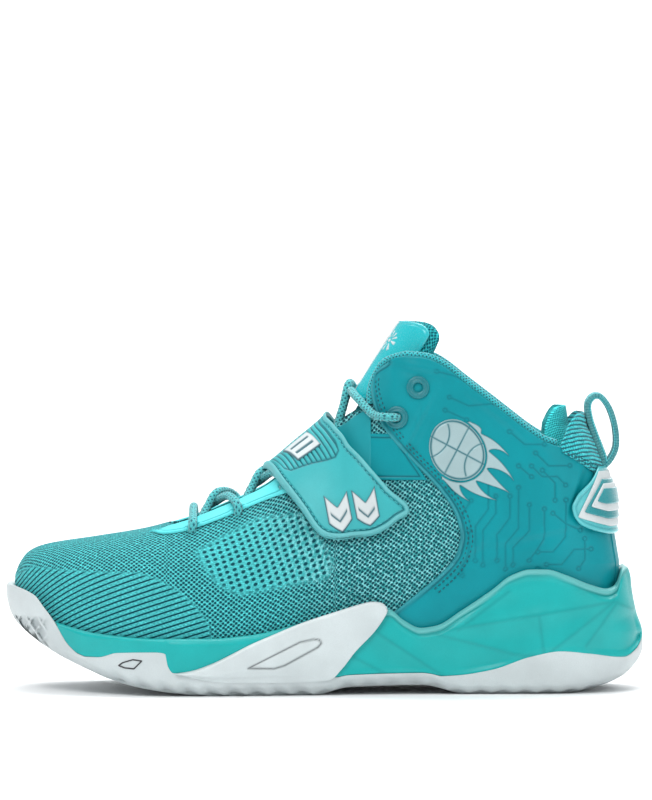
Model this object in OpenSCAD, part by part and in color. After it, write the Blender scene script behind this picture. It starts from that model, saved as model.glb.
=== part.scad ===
// Left basketball high top with an instep strap, laid out as its separate pieces.
// +X runs from toe to heel, +Y from the lateral side to the medial side, +Z up from the ground.
// Every upper piece is a layer of one smooth body: `skin` and `arch` give a point of that body
// at a stand-off `d` from the outer face of the knitted vamp.

/* [Fit] */
// Overall length from the toe bumper to the heel of the sole
shoe_length = 300; // [240:1:330]

/* [Upper] */
// Thickness of the knitted vamp
knit_t = 1.4; // [1:0.1:1.6]
// Thickness of the coated quarters and eyestays
overlay_t = 1.2; // [0.8:0.1:1.3]
// Thickness of the foam inside the collar
collar_foam_t = 3.4; // [2:0.1:3.6]
// Thickness of the tongue foam at its top
tongue_foam_t = 6; // [4:0.5:7]

/* [Sole] */
// Rubber between the ground and the midsole
outsole_t = 4.5; // [3.5:0.1:4.7]
// Thickness of the removable insole
insole_t = 4.5; // [3:0.5:5]

/* [Strap and lace] */
// Thickness of the instep strap
strap_t = 2.2; // [1.6:0.1:2.4]
// Diameter of the lace, drawn tight
lace_d = 2.6; // [2:0.1:2.6]
// Inner radius of the moulded eyelet rings
eyelet_r = 2.1; // [1.6:0.1:2.4]
// Outer radius of the moulded eyelet rings
eyelet_rim_r = 5.2; // [4.5:0.1:6]

/* [Hidden] */

// ---- driving curves, for a shoe 300 mm long: [x, value] knots joined by smooth curves ----
design_length = 300;
fit = shoe_length / design_length;
toe_x = -146;
heel_x = 137;
toe_round = 62;
heel_round = 42;
CENTRE = [[-150, 11.3], [-110, 5.8], [-75, 0.8], [-40, -0.7], [0, -0.7], [40, 0.8], [80, 3.3], [150, 3.3]];
HALF = [[-150, 44], [-110, 47], [-75, 49.5], [-40, 46], [0, 40.5], [40, 37.5], [80, 36.5], [150, 35.5]];
LEVEL = [[-150, 46], [-145, 43.5], [-130, 37], [-110, 31], [-90, 28], [-60, 26], [0, 28],
    [40, 31], [80, 34], [150, 36]];
CREST = [[-147, 50], [-144, 58], [-140, 63.5], [-135, 66.3], [-129, 68], [-107, 71.5], [-84, 75.5],
    [-67, 80.3], [-45, 89.5], [-28, 98], [-14, 109.3], [0, 121.2], [8, 130.5], [14, 142], [20, 156],
    [24, 168], [30, 190], [36, 215], [50, 250], [150, 250]];
SQUARE = [[-150, 2.2], [-90, 2.2], [-40, 1.9], [0, 1.8], [20, 2], [60, 2.3], [150, 2.3]];
GROUND = [[-150, 33], [-144, 28], [-136, 22.7], [-126, 17.6], [-110, 11], [-100, 7.2], [-86, 3.6],
    [-67, 1], [-50, 0], [-5, 0], [12, 3.5], [45, 4.2], [66, 0], [112, 0], [128, 2.4], [140, 6], [150, 12]];
LIP = [[-150, 49.6], [-142.5, 48.2], [-135.5, 45.4], [-131, 40.2], [-125.6, 33.2], [-119, 27],
    [-112, 20.4], [-100, 20.6], [-88, 21.5], [-78, 20.5], [-66, 15], [-54, 11.4],
    [-30, 9], [5, 8.5], [50, 8.5], [62, 9], [78, 11.5], [96, 17.5], [110, 20], [124, 18.7], [140, 16.6],
    [146, 20], [150, 26]];
CUFF = [[-150, 45], [-145, 42], [-140, 38.5], [-133, 35.5], [-125.6, 33.2], [-105, 28.5],
    [-77, 26.7], [-53, 26.7], [-35, 28.1],
    [0, 36], [22, 40], [30, 39.6], [37, 34.5], [44.7, 31], [52, 32], [63.4, 38.8], [77.5, 48.2],
    [86.8, 55.2], [96, 58], [103, 58], [112.6, 55.2], [124, 50.5], [132, 48.3], [136, 49.6],
    [139.5, 57], [143, 60]];
BED = [[-150, 43], [-145, 40], [-140, 35.5], [-133, 30], [-125, 25], [-110, 19], [-90, 14.5],
    [-60, 11.5], [-40, 11], [0, 14.5], [40, 19], [80, 22], [120, 24], [150, 25]];
SOLE_TOE = [[20, -138], [27.5, -144], [31.6, -146.7], [38, -149], [44, -150], [48, -149.9], [50, -148.9]];
SOLE_HEEL = [[0, 139], [4, 143], [8, 145.5], [14, 148.2], [20, 149.9], [27, 149.6], [36, 146.8],
    [46, 144.8],
    [55, 143.8], [60, 142]];
sole_flare = 6;
lean_from = 60;
lean_slope = 0.17;
lean_curl = 0.006;
toe_tuck = 0.12;

// ---- curves and the body ----
function clamp(v, lo, hi) = max(lo, min(hi, v));
function mix(a, b, t) = a + (b - a) * t;
function segment(k, x, i = 0) = i >= len(k) - 2 || x < k[i + 1][0] ? i : segment(k, x, i + 1);
function chord(k, i) = (k[i + 1][1] - k[i][1]) / (k[i + 1][0] - k[i][0]);
function slope(k, i) =
    i == 0 ? chord(k, 0) : i == len(k) - 1 ? chord(k, i - 1) :
    let (a = chord(k, i - 1), b = chord(k, i)) a * b <= 0 ? 0 : 2 * a * b / (a + b);
function curve(k, x) =
    let (i = segment(k, x), h = k[i + 1][0] - k[i][0], t = clamp((x - k[i][0]) / h, 0, 1))
    k[i][1] * (2 * t^3 - 3 * t^2 + 1) + slope(k, i) * h * (t^3 - 2 * t^2 + t)
    + k[i + 1][1] * (3 * t^2 - 2 * t^3) + slope(k, i + 1) * h * (t^3 - t^2);
function round_end(t, p) = t >= 1 ? 1 : t <= 1e-7 ? 0 : (1 - (1 - t)^p)^(1 / p);
function half(x, d) =
    (curve(HALF, x) + d) * round_end((x - toe_x + d) / toe_round, 2.2)
    * round_end((heel_x + d - x) / heel_round, 2.3);
function lean(x, z) =
    -(lean_slope * max(0, z - lean_from) + lean_curl * max(0, min(z, 124) - 95)^2)
    * clamp((x - 20) / (heel_x - 20), 0, 1);
// The point of the body beside x at height z, on one side (-1 lateral, 1 medial).
function skin(x, z, side, d) =
    let (n = curve(SQUARE, x), low = curve(LEVEL, x),
        t = clamp((z - low) / (curve(CREST, x) + d - low), 0, 1),
        tuck = toe_tuck * clamp((-60 - x) / 50, 0, 1) * clamp((low - z) / 12, 0, 1)^2)
    [x + lean(x, z), curve(CENTRE, x) + side * half(x, d) * (1 - tuck) * (1 - t^n)^(1 / n), z];
// The same body by the turn over the instep: 0 on the crest, 1 at the widest level.
function arch(x, a, side, d) =
    let (n = curve(SQUARE, x), low = curve(LEVEL, x),
        z = low + (curve(CREST, x) + d - low) * cos(90 * a)^(2 / n))
    [x + lean(x, z), curve(CENTRE, x) + side * half(x, d) * sin(90 * a)^(2 / n), z];
function turn_at(x, z) =
    let (low = curve(LEVEL, x), t = clamp((z - low) / (curve(CREST, x) - low), 0, 1))
    acos(t^(curve(SQUARE, x) / 2)) / 90;

// ---- solids from grids of points ----
// A closed sheet between two grids; `on(i, j)` says which cells it has.
// `nose` leaves out its first edge, where the row folds onto itself.
module sheet(outer, inner, flip = false, on = function(i, j) true, nose = false) {
    rows = len(outer) - 1;
    cols = len(outer[0]) - 1;
    w = cols + 1;
    under = (rows + 1) * w;
    function has(i, j) = i >= 0 && j >= 0 && i < rows && j < cols && on(i, j);
    function two(a, b, c, d) = [[a, c, b], [a, d, c]];
    raw = [for (i = [0:rows - 1], j = [0:cols - 1]) if (has(i, j))
        let (a = i * w + j, b = a + 1, c = a + w + 1, e = a + w)
        each concat(two(a, e, c, b), two(under + a, under + b, under + c, under + e),
            has(i, j - 1) ? [] : two(a, under + a, under + e, e),
            has(i, j + 1) ? [] : two(b, c, under + c, under + b),
            has(i - 1, j) || (nose && i == 0) ? [] : two(a, b, under + b, under + a),
            has(i + 1, j) ? [] : two(e, under + e, under + c, c))];
    polyhedron([each [for (r = outer) each r], each [for (r = inner) each r]],
        flip ? [for (f = raw) reversed(f)] : raw, convexity = 8);
}
// A sheet over the patch f(u, v, d), from stand-off d0 to d1.
module patch(f, nu, nv, d0, d1, flip = false, on = function(i, j) true) {
    sheet([for (i = [0:nu]) [for (j = [0:nv]) f(i / nu, j / nv, d1)]],
        [for (i = [0:nu]) [for (j = [0:nv]) f(i / nu, j / nv, d0)]], flip, on);
}
ring_n = 26;
// A closed ring round the shoe, toe first; f(x, side) gives its points.
function ring(x0, x1, f) =
    let (xs = [for (k = [0:ring_n]) mix(x0, x1, (1 - cos(180 * k / ring_n)) / 2)],
        tip = f(x0, 0), end = f(x1, 0))
    concat([tip], [for (k = [1:ring_n - 1]) f(xs[k], -1)], [end],
        [for (k = [1:ring_n - 1]) f(xs[ring_n - k], 1)]);
// A solid through stacked rings. Its first and last rings are closed across.
module stack(rings) {
    n = len(rings[0]);
    m = n / 2;
    last = len(rings) - 1;
    walls = [for (i = [0:last - 1], k = [0:n - 1])
        let (a = i * n + k, b = i * n + (k + 1) % n, up = (i + 1) * n)
        each [[a, up + (k + 1) % n, b], [a, up + k, up + (k + 1) % n]]];
    function across(o, back) = [for (k = [0:m - 1])
        let (a = o + k, b = o + k + 1, c = o + (n - k - 1) % n, d = o + (n - k) % n)
        each [for (f = concat(b == c ? [] : [[a, b, c]], a == d ? [] : [[a, c, d]]))
            back ? reversed(f) : f]];
    polyhedron([each [for (r = rings) each r]],
        concat(walls, across(0, false), across(last * n, true)), convexity = 8);
}
function sole_half(x, z, e) =
    (curve(HALF, x) + sole_flare + e)
    * round_end((x - curve(SOLE_TOE, z) + e) / toe_round, 2.3)
    * round_end((curve(SOLE_HEEL, z) + e - x) / heel_round, 2.3);
function sole_skin(x, z, side, e) = [x, curve(CENTRE, x) + side * sole_half(x, z, e), z];
// A ring on the side of the sole, at height up(x), pulled in by e.
function zero(f, a, b, n = 40) = // where f changes sign between a and b
    let (m = (a + b) / 2) n == 0 ? m : f(a) * f(m) > 0 ? zero(f, m, b, n - 1) : zero(f, a, m, n - 1);
function toe_end(up, e) = zero(function(x) x - curve(SOLE_TOE, up(x)) + e, -156, -120);
function heel_end(up, e) = zero(function(x) x - curve(SOLE_HEEL, up(x)) - e, 120, 156);
function sole_ring(up, e) =
    ring(toe_end(up, e), heel_end(up, e), function(x, side) sole_skin(x, up(x), side, e));
// A ring on the body, at height up(x), stood off by d(x).
function body_ring(up, d) =
    ring(toe_x - d(toe_x), heel_x + d(heel_x), function(x, side) skin(x, up(x), side, d(x)));
function crossed(pts, m) = // a smooth line through the points, m steps to each span
    [for (i = [0:len(pts) - 2], s = [0:m - (i == len(pts) - 2 ? 0 : 1)])
        let (t = s / m, p1 = pts[i], p2 = pts[i + 1],
            p0 = i == 0 ? 2 * p1 - p2 : pts[i - 1], p3 = i + 2 == len(pts) ? 2 * p2 - p1 : pts[i + 2])
        0.5 * (2 * p1 + (p2 - p0) * t + (2 * p0 - 5 * p1 + 4 * p2 - p3) * t^2
            + (3 * p1 - p0 - 3 * p2 + p3) * t^3)];
function unit(v) = v / norm(v);
function reversed(l) = [for (i = [len(l) - 1:-1:0]) l[i]];
function sides_of(t, i, prev) = // the normal carried along a line without twist
    i == len(t) ? [] : let (n = unit(prev - (prev * t[i]) * t[i])) concat([n], sides_of(t, i + 1, n));
module tube(path, r, sides = 8) {
    last = len(path) - 1;
    t = [for (i = [0:last]) unit(path[min(i + 1, last)] - path[max(i - 1, 0)])];
    n = sides_of(t, 0, [0.9, 0.3, 0.2]);
    rings = [for (i = [0:last]) let (b = cross(t[i], n[i]))
        [for (k = [0:sides - 1]) path[i] + r * (cos(360 * k / sides) * n[i] + sin(360 * k / sides) * b)]];
    stack(rings);
}

// ---- sole ----
module outsole() color([0.86, 0.9, 0.9]) {
    g = function(x) curve(GROUND, x);
    lip = function(x) max(curve(LIP, x), curve(GROUND, x) + outsole_t + 1.5);
    stack([sole_ring(g, -7), sole_ring(function(x) g(x) + 1.2, -2.6),
        sole_ring(function(x) g(x) + 4, -0.4), sole_ring(function(x) mix(g(x) + 4, lip(x), 0.5), 0),
        sole_ring(lip, 0), sole_ring(lip, -1.6),
        sole_ring(function(x) mix(g(x) + outsole_t, lip(x), 0.5), -1.7),
        sole_ring(function(x) g(x) + outsole_t, -3.2)]);
}
well_d = function(x) x < 20 ? 0.6 : 1.75;
module midsole() color([0.14, 0.72, 0.7]) {
    g = function(x) curve(GROUND, x) + outsole_t + 0.3;
    lip = function(x) max(curve(LIP, x), curve(GROUND, x) + outsole_t + 1.5);
    cuff = function(x) curve(CUFF, x);
    // where the rubber lip covers it the foam stays behind the lip, elsewhere it comes out flush
    behind = -3.1;
    covered = function(x) clamp((lip(x) + 1.5 - cuff(x)) / 1.5, 0, 1);
    wall = function(up, out) let (e = function(x) mix(out, behind, covered(x)))
        ring(toe_end(up, behind), heel_end(up, out), function(x, side) sole_skin(x, up(x), side, e(x)));
    above = function(x) min(lip(x) + 0.3, cuff(x) - 0.6);
    stack([sole_ring(g, -4.4), wall(function(x) mix(g(x), above(x), 0.5), behind), wall(above, behind),
        wall(function(x) above(x) + 0.1, -0.2), wall(function(x) mix(above(x), cuff(x), 0.45), 0),
        wall(function(x) mix(above(x), cuff(x), 0.85), -0.8), wall(cuff, -2),
        body_ring(cuff, well_d), body_ring(function(x) curve(BED, x), well_d)]);
}
module shank_plate() color([0.2, 0.22, 0.24]) {
    // a stiff strip under the lasting board, through the arch
    f = function(u, v, d) let (x = mix(-25, 72, u), y = mix(-15, 15, v))
        [x, curve(CENTRE, x) + y * (1 - 0.25 * sin(180 * u)), curve(BED, x) + 0.15 + d];
    patch(f, 8, 2, 0, 0.9);
}
// The moulded plate that sweeps up from the outsole on each side, as an outline in x and z.
PLATE_TOP = [[-62, 14.6], [-52, 20], [-44, 24.8], [-32, 28.4], [-11, 35.8], [7, 41.4], [17, 44], [24, 44.6],
    [29.4, 41.5]];
PLATE_LOW = [[-62, 14], [-48, 10.4], [-30, 9.6], [-8, 9.2], [1, 8.9], [8, 12], [15, 21], [24, 33],
    [29, 40.6]];
module side_plate(side) color([0.86, 0.9, 0.9]) {
    f = function(u, v, d) let (x = mix(-62, 29.4, u))
        sole_skin(x, mix(curve(PLATE_LOW, x), curve(PLATE_TOP, x), v), side, d);
    patch(f, 18, 4, 0.25, 2, side > 0);
}
module side_plate_lateral() side_plate(-1);
module side_plate_medial() side_plate(1);

// ---- inside the upper ----
inner_d = function(x) x < 10 ? -knit_t - 0.3 : x > 30 ? -7 : mix(-knit_t - 0.3, -7, (x - 10) / 20);
module lasting_board() color([0.9, 0.88, 0.8]) {
    d = function(x) -knit_t - 0.35;
    stack([body_ring(function(x) curve(BED, x) + 1.3, d), body_ring(function(x) curve(BED, x) + 2.5, d)]);
}
module insole() color([0.1, 0.45, 0.47]) {
    base = 2.8;
    d = function(x) inner_d(x) - 0.9;
    stack([body_ring(function(x) curve(BED, x) + base, function(x) d(x) - 1),
        body_ring(function(x) curve(BED, x) + base + 1.2, d),
        body_ring(function(x) curve(BED, x) + base + insole_t - 0.6, d),
        body_ring(function(x) curve(BED, x) + base + insole_t, function(x) d(x) - 2)]);
}

// ---- vamp ----
throat_x = -74;
vamp_end_x = 74;
throat_turn = 0.2;
KNIT_TOP = [[5, 124], [14, 127], [24, 127], [34, 120], [45, 108], [58, 93], [75, 68]];
function knit_edge(x) = x < 5 ? throat_turn : turn_at(x, curve(KNIT_TOP, x));
wall_rows = 6;
// One side of a row across the knit: from the bed up to the edge of the throat.
half_row = function(x, side, d) concat(
    [skin(x, curve(BED, x) + 0.3, side, d)],
    [for (j = [0:wall_rows]) arch(x, mix(1, knit_edge(x), j / wall_rows), side, d)]);
module vamp_toe() color([0.3, 0.8, 0.78]) {
    toe_steps = 12;
    crest_rows = 6;
    xs = function(d) [for (k = [0:toe_steps]) mix(toe_x - d, throat_x, (k / toe_steps)^2)];
    row = function(x, d) concat(half_row(x, -1, d),
        [for (j = [1:crest_rows - 1]) let (a = throat_turn * (2 * j / crest_rows - 1))
            arch(x, abs(a), a < 0 ? -1 : 1, d)],
        reversed(half_row(x, 1, d)));
    sheet([for (x = xs(0)) row(x, 0)], [for (x = xs(-knit_t)) row(x, -knit_t)], nose = true);
}
module vamp_side(side) color([0.3, 0.8, 0.78]) {
    side_steps = 20;
    rows = function(d) [for (k = [0:side_steps])
        half_row(mix(throat_x, vamp_end_x, k / side_steps), side, d)];
    sheet(rows(0), rows(-knit_t), side > 0);
}
module vamp_side_lateral() vamp_side(-1);
module vamp_side_medial() vamp_side(1);
module toe_puff() color([0.75, 0.75, 0.7]) {
    f = function(u, v, d) let (x = mix(-142, -112, u), a = mix(-0.85, 0.85, v))
        arch(x, abs(a), a < 0 ? -1 : 1, d);
    patch(f, 8, 14, -knit_t - 0.9, -knit_t - 0.2);
}

// ---- quarters and collar ----
// The quarter's outline in x and z: its front edge by height, and the topline by x.
FRONT = [[0, 30], [0.3, 62], [0.36, 64], [0.42, 62.5], [0.9, 22], [0.95, 24], [1, 31]];
FRONT_Z = [[0, 19.1], [0.3, 66], [0.36, 74], [0.42, 82], [0.8, 128], [0.9, 142], [0.95, 149], [1, 154]];
TOPLINE = [[31, 153], [36, 155.5], [42, 156.4], [53, 155.8], [62.6, 152.4], [76.4, 143.2], [90.7, 133.3],
    [103.4, 124], [113, 117], [122, 114.6], [130, 114.6], [138, 115]];
seam_x = heel_x - 0.02;
// The quarter as a patch: u from the front edge to the back seam, v from the bed to the topline.
function quarter_at(u, v) =
    let (low_z = function(x) curve(BED, x) + 1,
        bottom = [mix(30, seam_x, u), low_z(mix(30, seam_x, u))],
        top = [mix(31, seam_x, u), curve(TOPLINE, mix(31, seam_x, u))],
        front = [curve(FRONT, v), curve(FRONT_Z, v)],
        back = [seam_x, mix(low_z(seam_x), curve(TOPLINE, seam_x), v)],
        corners = mix(mix([30, low_z(30)], [seam_x, low_z(seam_x)], u), mix([31, curve(TOPLINE, 31)],
            [seam_x, curve(TOPLINE, seam_x)], u), v))
    mix(bottom, top, v) + mix(front, back, u) - corners;
function to_heel(u) = 1 - (1 - u)^1.6;
module quarter(side) color([0.06, 0.62, 0.65]) {
    // the patch shrinks towards the heel with its layer, so that its last edge stays by the back seam
    f = function(u, v, d) let (p = quarter_at(to_heel(u), v), grow = (seam_x + d - 31) / (seam_x - 31))
        skin(p[0] > 31 ? 31 + (p[0] - 31) * grow : p[0], p[1], side, d);
    patch(f, 18, 16, 0.2, 0.2 + overlay_t, side > 0);
}
module quarter_lateral() quarter(-1);
module quarter_medial() quarter(1);
// A band round the heel, open at the front: t runs from the lateral front, by the back, to the medial.
function heel_x_at(a, d) = heel_x + d - heel_round * (1 - cos(90 * min(a, 1))^(2 / 2.3))
    - 68 * max(0, a - 1);
function heel_turn(x) = x > heel_x - heel_round ?
    acos((1 - (heel_x - x) / heel_round)^(2.3 / 2)) / 90 : 1 + (heel_x - heel_round - x) / 68;
function wrap(t, x0, d, f) =
    let (s = abs(2 * t - 1), x = heel_x_at(heel_turn(x0) * s, d * (1 - s^3))) f(x, t < 0.5 ? -1 : 1, 1 - s);
module heel_counter() color([0.8, 0.8, 0.76]) {
    f = function(u, v, d) wrap(u, 78, d, function(x, side, s)
        skin(x, mix(curve(BED, x) + 3, 60 + 24 * s, v), side, d));
    patch(f, 20, 4, -1.5, -0.15);
}
foam_d0 = -1.8 - collar_foam_t;
collar_x = 41;
function collar_top(x) = curve(TOPLINE, clamp(x, 31, 138));
module collar_foam() color([0.1, 0.55, 0.58]) {
    f = function(u, v, d) wrap(u, collar_x, d, function(x, side, s)
        skin(x, mix(mix(118, 86, clamp((x - 34) / 60, 0, 1)), collar_top(x) - 1.5, v), side, d));
    patch(f, 28, 5, foam_d0, -1.8);
}
module collar_lining() color([0.08, 0.5, 0.53]) {
    f = function(u, v, d) wrap(u, collar_x, d, function(x, side, s)
        skin(x, mix(curve(BED, x) + 9, collar_top(x) - 0.8, v), side, d));
    patch(f, 28, 7, foam_d0 - 1, foam_d0 - 0.2);
}
// The knitted edge binding: a cord-like roll along the topline and down the front of each ear.
BINDING_EAR = [[22.5, 134], [22.8, 141], [25.5, 148.5], [31, 155.5]];
module collar_binding() color([0.06, 0.5, 0.52]) for (side = [-1, 1]) {
    d = -1.6;
    lift = 1.8;
    ear = [for (p = BINDING_EAR) skin(p[0] - 1.2, p[1], side, d)];
    top = [for (x = [41:11:118]) skin(x, collar_top(x) + lift, side, d)];
    tube(crossed(concat(ear, top), 2), 1.5);
}
// The Achilles cushion that stands up inside the back of the collar.
module heel_pad() color([0.12, 0.6, 0.62]) {
    // thickest in the middle, thin at its rim
    dome = function(u, v) sin(180 * clamp(u, 0.03, 0.97))^0.5 * sin(180 * clamp(v, 0.05, 0.95))^0.5;
    f = function(u, v, d) wrap(u, 113, -6.8, function(x, side, s)
        skin(x, mix(97, 117 + 16 * sin(90 * clamp(s * 1.6, 0, 1)), v), side, -6.8)
        - [1, 0, 0] * (d * 6.5 * dome(u, v) + 0.3));
    patch(f, 14, 8, 1, 0);
}

// ---- eyestays, eyelets, lace ----
STAY_LOW = [[-81, 74.5], [-76, 73.6], [-67, 74.4], [-53, 78.8], [-39, 84.4], [-29, 88.6], [-18, 92.6],
    [5, 99], [30, 104.5], [44, 107]];
stay_turn = 0.19;
module eyestay(side) color([0.36, 0.82, 0.81]) {
    f = function(u, v, d) let (x = mix(-80, 22, u), low = turn_at(x, curve(STAY_LOW, x)),
        spread = x < 5 ? stay_turn : mix(stay_turn, turn_at(22, 133), (x - 5) / 17),
        high = mix(low * 0.97, spread, clamp((x + 80) / 8, 0, 1)))
        arch(x, mix(low, high, v), side, d);
    patch(f, 20, 4, 0.4, 0.2 + overlay_t, side > 0);
}
module eyestay_lateral() eyestay(-1);
module eyestay_medial() eyestay(1);
// Places of the moulded rings on the ears, in x and z. The lace uses the lower one.
RINGS = [[36, 128.5], [48, 142.5]];
function ring_frame(p, side) = // centre and outward normal on the quarter's face
    let (d = 0.2 + overlay_t, c = skin(p[0], p[1], side, d),
        a = skin(p[0] + 1, p[1], side, d) - c, b = skin(p[0], p[1] + 1, side, d) - c)
    [c, unit(cross(a, b)) * (cross(a, b)[1] * side > 0 ? 1 : -1)];
module along(c, n) translate(c) rotate([0, acos(n[2]), atan2(n[1], n[0])]) children();
module eyelet_rings() color([0.04, 0.45, 0.48]) {
    lift = 0.5;
    for (side = [-1, 1], p = RINGS) let (f = ring_frame(p, side)) along(f[0] + f[1] * lift, f[1])
        rotate_extrude($fn = 40) polygon([[eyelet_r, 0], [eyelet_rim_r, 0], [eyelet_rim_r, 0.5],
            [eyelet_rim_r - 0.8, 1.2], [eyelet_r + 1, 1.2], [eyelet_r, 0.7]]);
}
HOLES = [-61.5, -40.5, -19.5, 2]; // eyelet holes along each eyestay
hole_turn = 0.3;
function in_hole(k, side) = arch(HOLES[k], hole_turn, side, -knit_t - 0.2 - lace_d / 2);
function over_hole(k, side) = arch(HOLES[k], hole_turn, side, 0.4 + overlay_t + lace_d / 2);
// From under one eyestay, across the tongue and over the other eyestay into its hole.
function crossing(k, side, high) =
    let (x0 = HOLES[k], x1 = HOLES[k + 1], r = lace_d / 2)
    [in_hole(k, -side), arch(mix(x0, x1, 0.14), 0.19, -side, -knit_t - r - 0.1),
        arch(mix(x0, x1, 0.3), 0.08, -side, 0.2),
        arch(mix(x0, x1, 0.5), 0, side, high ? 1.0 + lace_d + 0.2 : 1.0),
        arch(mix(x0, x1, 0.78), 0.15, side, 0.5 + overlay_t + r + (high ? 0.6 : 0)),
        over_hole(k + 1, side)];
function last_leg(side, high) = // from the top hole across the tongue to the ring on the ear
    let (f = ring_frame(RINGS[0], side), r = lace_d / 2)
    [in_hole(3, -side), arch(4.5, 0.19, -side, -knit_t - r - 0.1), arch(8.5, 0.08, -side, 1.2),
        arch(11.5, 0, side, high ? 6.6 : 3.6), arch(15, 0.26, side, high ? 5 : 3.4),
        skin(23, 130, side, 3.6),
        f[0] + [-4.5, 0, 0] + f[1] * (r + 2.4),
        f[0] + f[1] * 1.2, f[0] - f[1] * 4,
        skin(RINGS[0][0] + 4, 124, side, -11), skin(50, 113, side, -12)];
function lace_half(side) = // one end, from the bar between the first holes
    concat([over_hole(0, side)], crossing(0, -side, side < 0), crossing(1, side, side > 0),
        crossing(2, -side, side < 0), last_leg(side, side > 0));
LACE = concat(reversed(lace_half(1)), [arch(HOLES[0], 0, 1, 2.6)], lace_half(-1));
module lace() color([0.1, 0.6, 0.62]) tube(crossed(LACE, 2), lace_d / 2);
module lace_aglets() color([0.3, 0.75, 0.76]) for (side = [-1, 1]) {
    a = last_leg(side, side > 0);
    n = len(a);
    dir = unit(skin(58, 103, side, -13) - a[n - 1]);
    along(a[n - 1] + dir * 0.3, dir) cylinder(r = lace_d / 2 + 0.2, h = 12, $fn = 24);
}

// ---- heel ----
module heel_tab() color([0.1, 0.58, 0.6]) {
    f = function(u, v, d) wrap(u, 120, d, function(x, side, s)
        skin(x, mix(mix(112, 97, sin(90 * s)), mix(115.5, 130, sin(90 * clamp(s * 1.6, 0, 1))), v),
            side, d));
    patch(f, 16, 5, 1.55, 2.4);
}
// The moulded clip: its front edge is a V that opens backwards.
CLIP_FRONT = [[73, 137], [76, 127], [79, 121.5], [83, 119.3], [86, 119], [91.5, 122], [99, 131],
    [105, 136.2]];
module heel_clip() color([0.42, 0.85, 0.84]) {
    f = function(u, v, d) let (z = mix(74, 105, v)) wrap(u, curve(CLIP_FRONT, z), d, function(x, side, s)
        skin(x, z, side, d));
    patch(f, 18, 10, 2.75, 3.7);
}
module heel_chevrons() color([0.88, 0.9, 0.9]) {
    // three nested V ridges on each side of the clip: [apex x, height above it, depth below it, width]
    for (side = [-1, 1], ridge = [[122, 14, 9, 3.2], [127, 10, 6.5, 3], [131.5, 6, 4, 2.6]]) {
        f = function(u, v, d) let (s = 2 * u - 1,
                turn = heel_turn(ridge[0]) * (1 - 0.6 * abs(s)) - 0.016 * ridge[3] * v)
            skin(heel_x_at(turn, d), 87 + s * (s > 0 ? ridge[1] : ridge[2]), side, d);
        patch(f, 8, 2, 3.95, 4.9, side < 0);
    }
}
module pull_loop() color([0.12, 0.6, 0.62]) {
    // webbing folded into a teardrop that stands up from the back of the collar
    wide = 18;
    outer = crossed([[132.5, 106.8], [137, 110.6], [138.6, 116], [137.6, 124.5], [134.8, 133], [129.4, 139],
        [125.8, 138.6], [124.1, 135.4], [125.3, 126], [127.8, 117.4], [131.2, 107.6]], 3);
    inner = crossed([[132, 110], [135.5, 112.4], [136.9, 116.6], [135.9, 124], [133.1, 131.8],
        [129.2, 136.6],
        [126.8, 136.8], [126, 134.8], [127.2, 126], [129.4, 118.2], [131.5, 110.4]], 3);
    translate([0, curve(CENTRE, heel_x), 0]) rotate([90, 0, 0])
        linear_extrude(wide, center = true) difference() {
        polygon(outer);
        polygon(inner);
    }
}

// ---- tongue ----
// The crest line of the tongue in the middle plane, from under the vamp to its tip.
TONGUE_LINE = [[-8, 0, 113], [6, 0, 127.5], [16.5, 0, 144.5], [26, 0, 160], [35.5, 0, 174.5]];
TONGUE = crossed(TONGUE_LINE, 4);
tongue_end = len(TONGUE) - 1;
first_free = 3; // on the line, where the tongue comes out from under the vamp
tongue_cut = 8; // where the flap that folds forward begins
tongue_rise = 0.6;
function tongue_at(i, phi, drop) = // phi turns round the shin, drop goes into the shoe
    let (last = len(TONGUE) - 1, t = unit(TONGUE[min(i + 1, last)] - TONGUE[max(i - 1, 0)]),
        n = [-t[2], 0, t[0]], f = clamp(i / last, 0, 1),
        a = mix(20.5, 23.5, f) - drop, b = mix(28, 23, f) - drop,
        rise = tongue_rise * clamp((i - tongue_cut) / (last - tongue_cut), 0, 1))
    TONGUE[i] + n * (-drop - b * (1 - cos(phi))) + t * (rise * b * (1 - cos(phi)))
    + [0, a * sin(phi) + curve(CENTRE, TONGUE[i][0]), 0];
function tongue_sheet(i0, i1, wide, drop0, drop1, cols = 12) =
    [for (drop = [drop0, drop1]) [for (i = [i0:i1]) [for (j = [0:cols])
        tongue_at(i, wide(i) * (2 * j / cols - 1), drop)]]];
function tongue_row(i, wide, drop, cols) =
    [for (j = [0:cols]) let (a = wide * (2 * j / cols - 1)) tongue_at(i, a, drop)];
module tongue_base() color([0.08, 0.55, 0.58]) {
    cols = 10;
    low_x = [-88, -78, -68, -56, -44, -32, -20, -10, -2];
    low = function(drop) [for (x = low_x) [for (j = [0:cols]) let (a = 0.36 * (2 * j / cols - 1))
        arch(x, abs(a), a < 0 ? -1 : 1, -knit_t - 3.6 - drop)]];
    high = function(drop) [for (i = [first_free:tongue_cut]) tongue_row(i, 44, drop + 3.4, cols)];
    sheet(concat(low(0), high(0)), concat(low(3.2), high(3.2)));
}
flap_wide = function(i) mix(66, 79, (i - tongue_cut) / (tongue_end - tongue_cut));
module tongue_flap() color([0.1, 0.58, 0.6]) {
    s = tongue_sheet(tongue_cut + 1, tongue_end, flap_wide, 1.5, 1.5 + tongue_foam_t * 0.7);
    sheet(s[0], s[1]);
}
module tongue_flap_lining() color([0.08, 0.48, 0.5]) {
    d = 1.5 + tongue_foam_t * 0.7;
    s = tongue_sheet(tongue_cut + 1, tongue_end, function(i) flap_wide(i) - 2, d + 0.2, d + 1.0);
    sheet(s[0], s[1]);
}
module tongue_face() color([0.16, 0.75, 0.77]) {
    s = tongue_sheet(tongue_cut + 1, tongue_end, function(i) flap_wide(i) - 9, 0, 1.3);
    sheet(s[0], s[1]);
}

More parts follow.
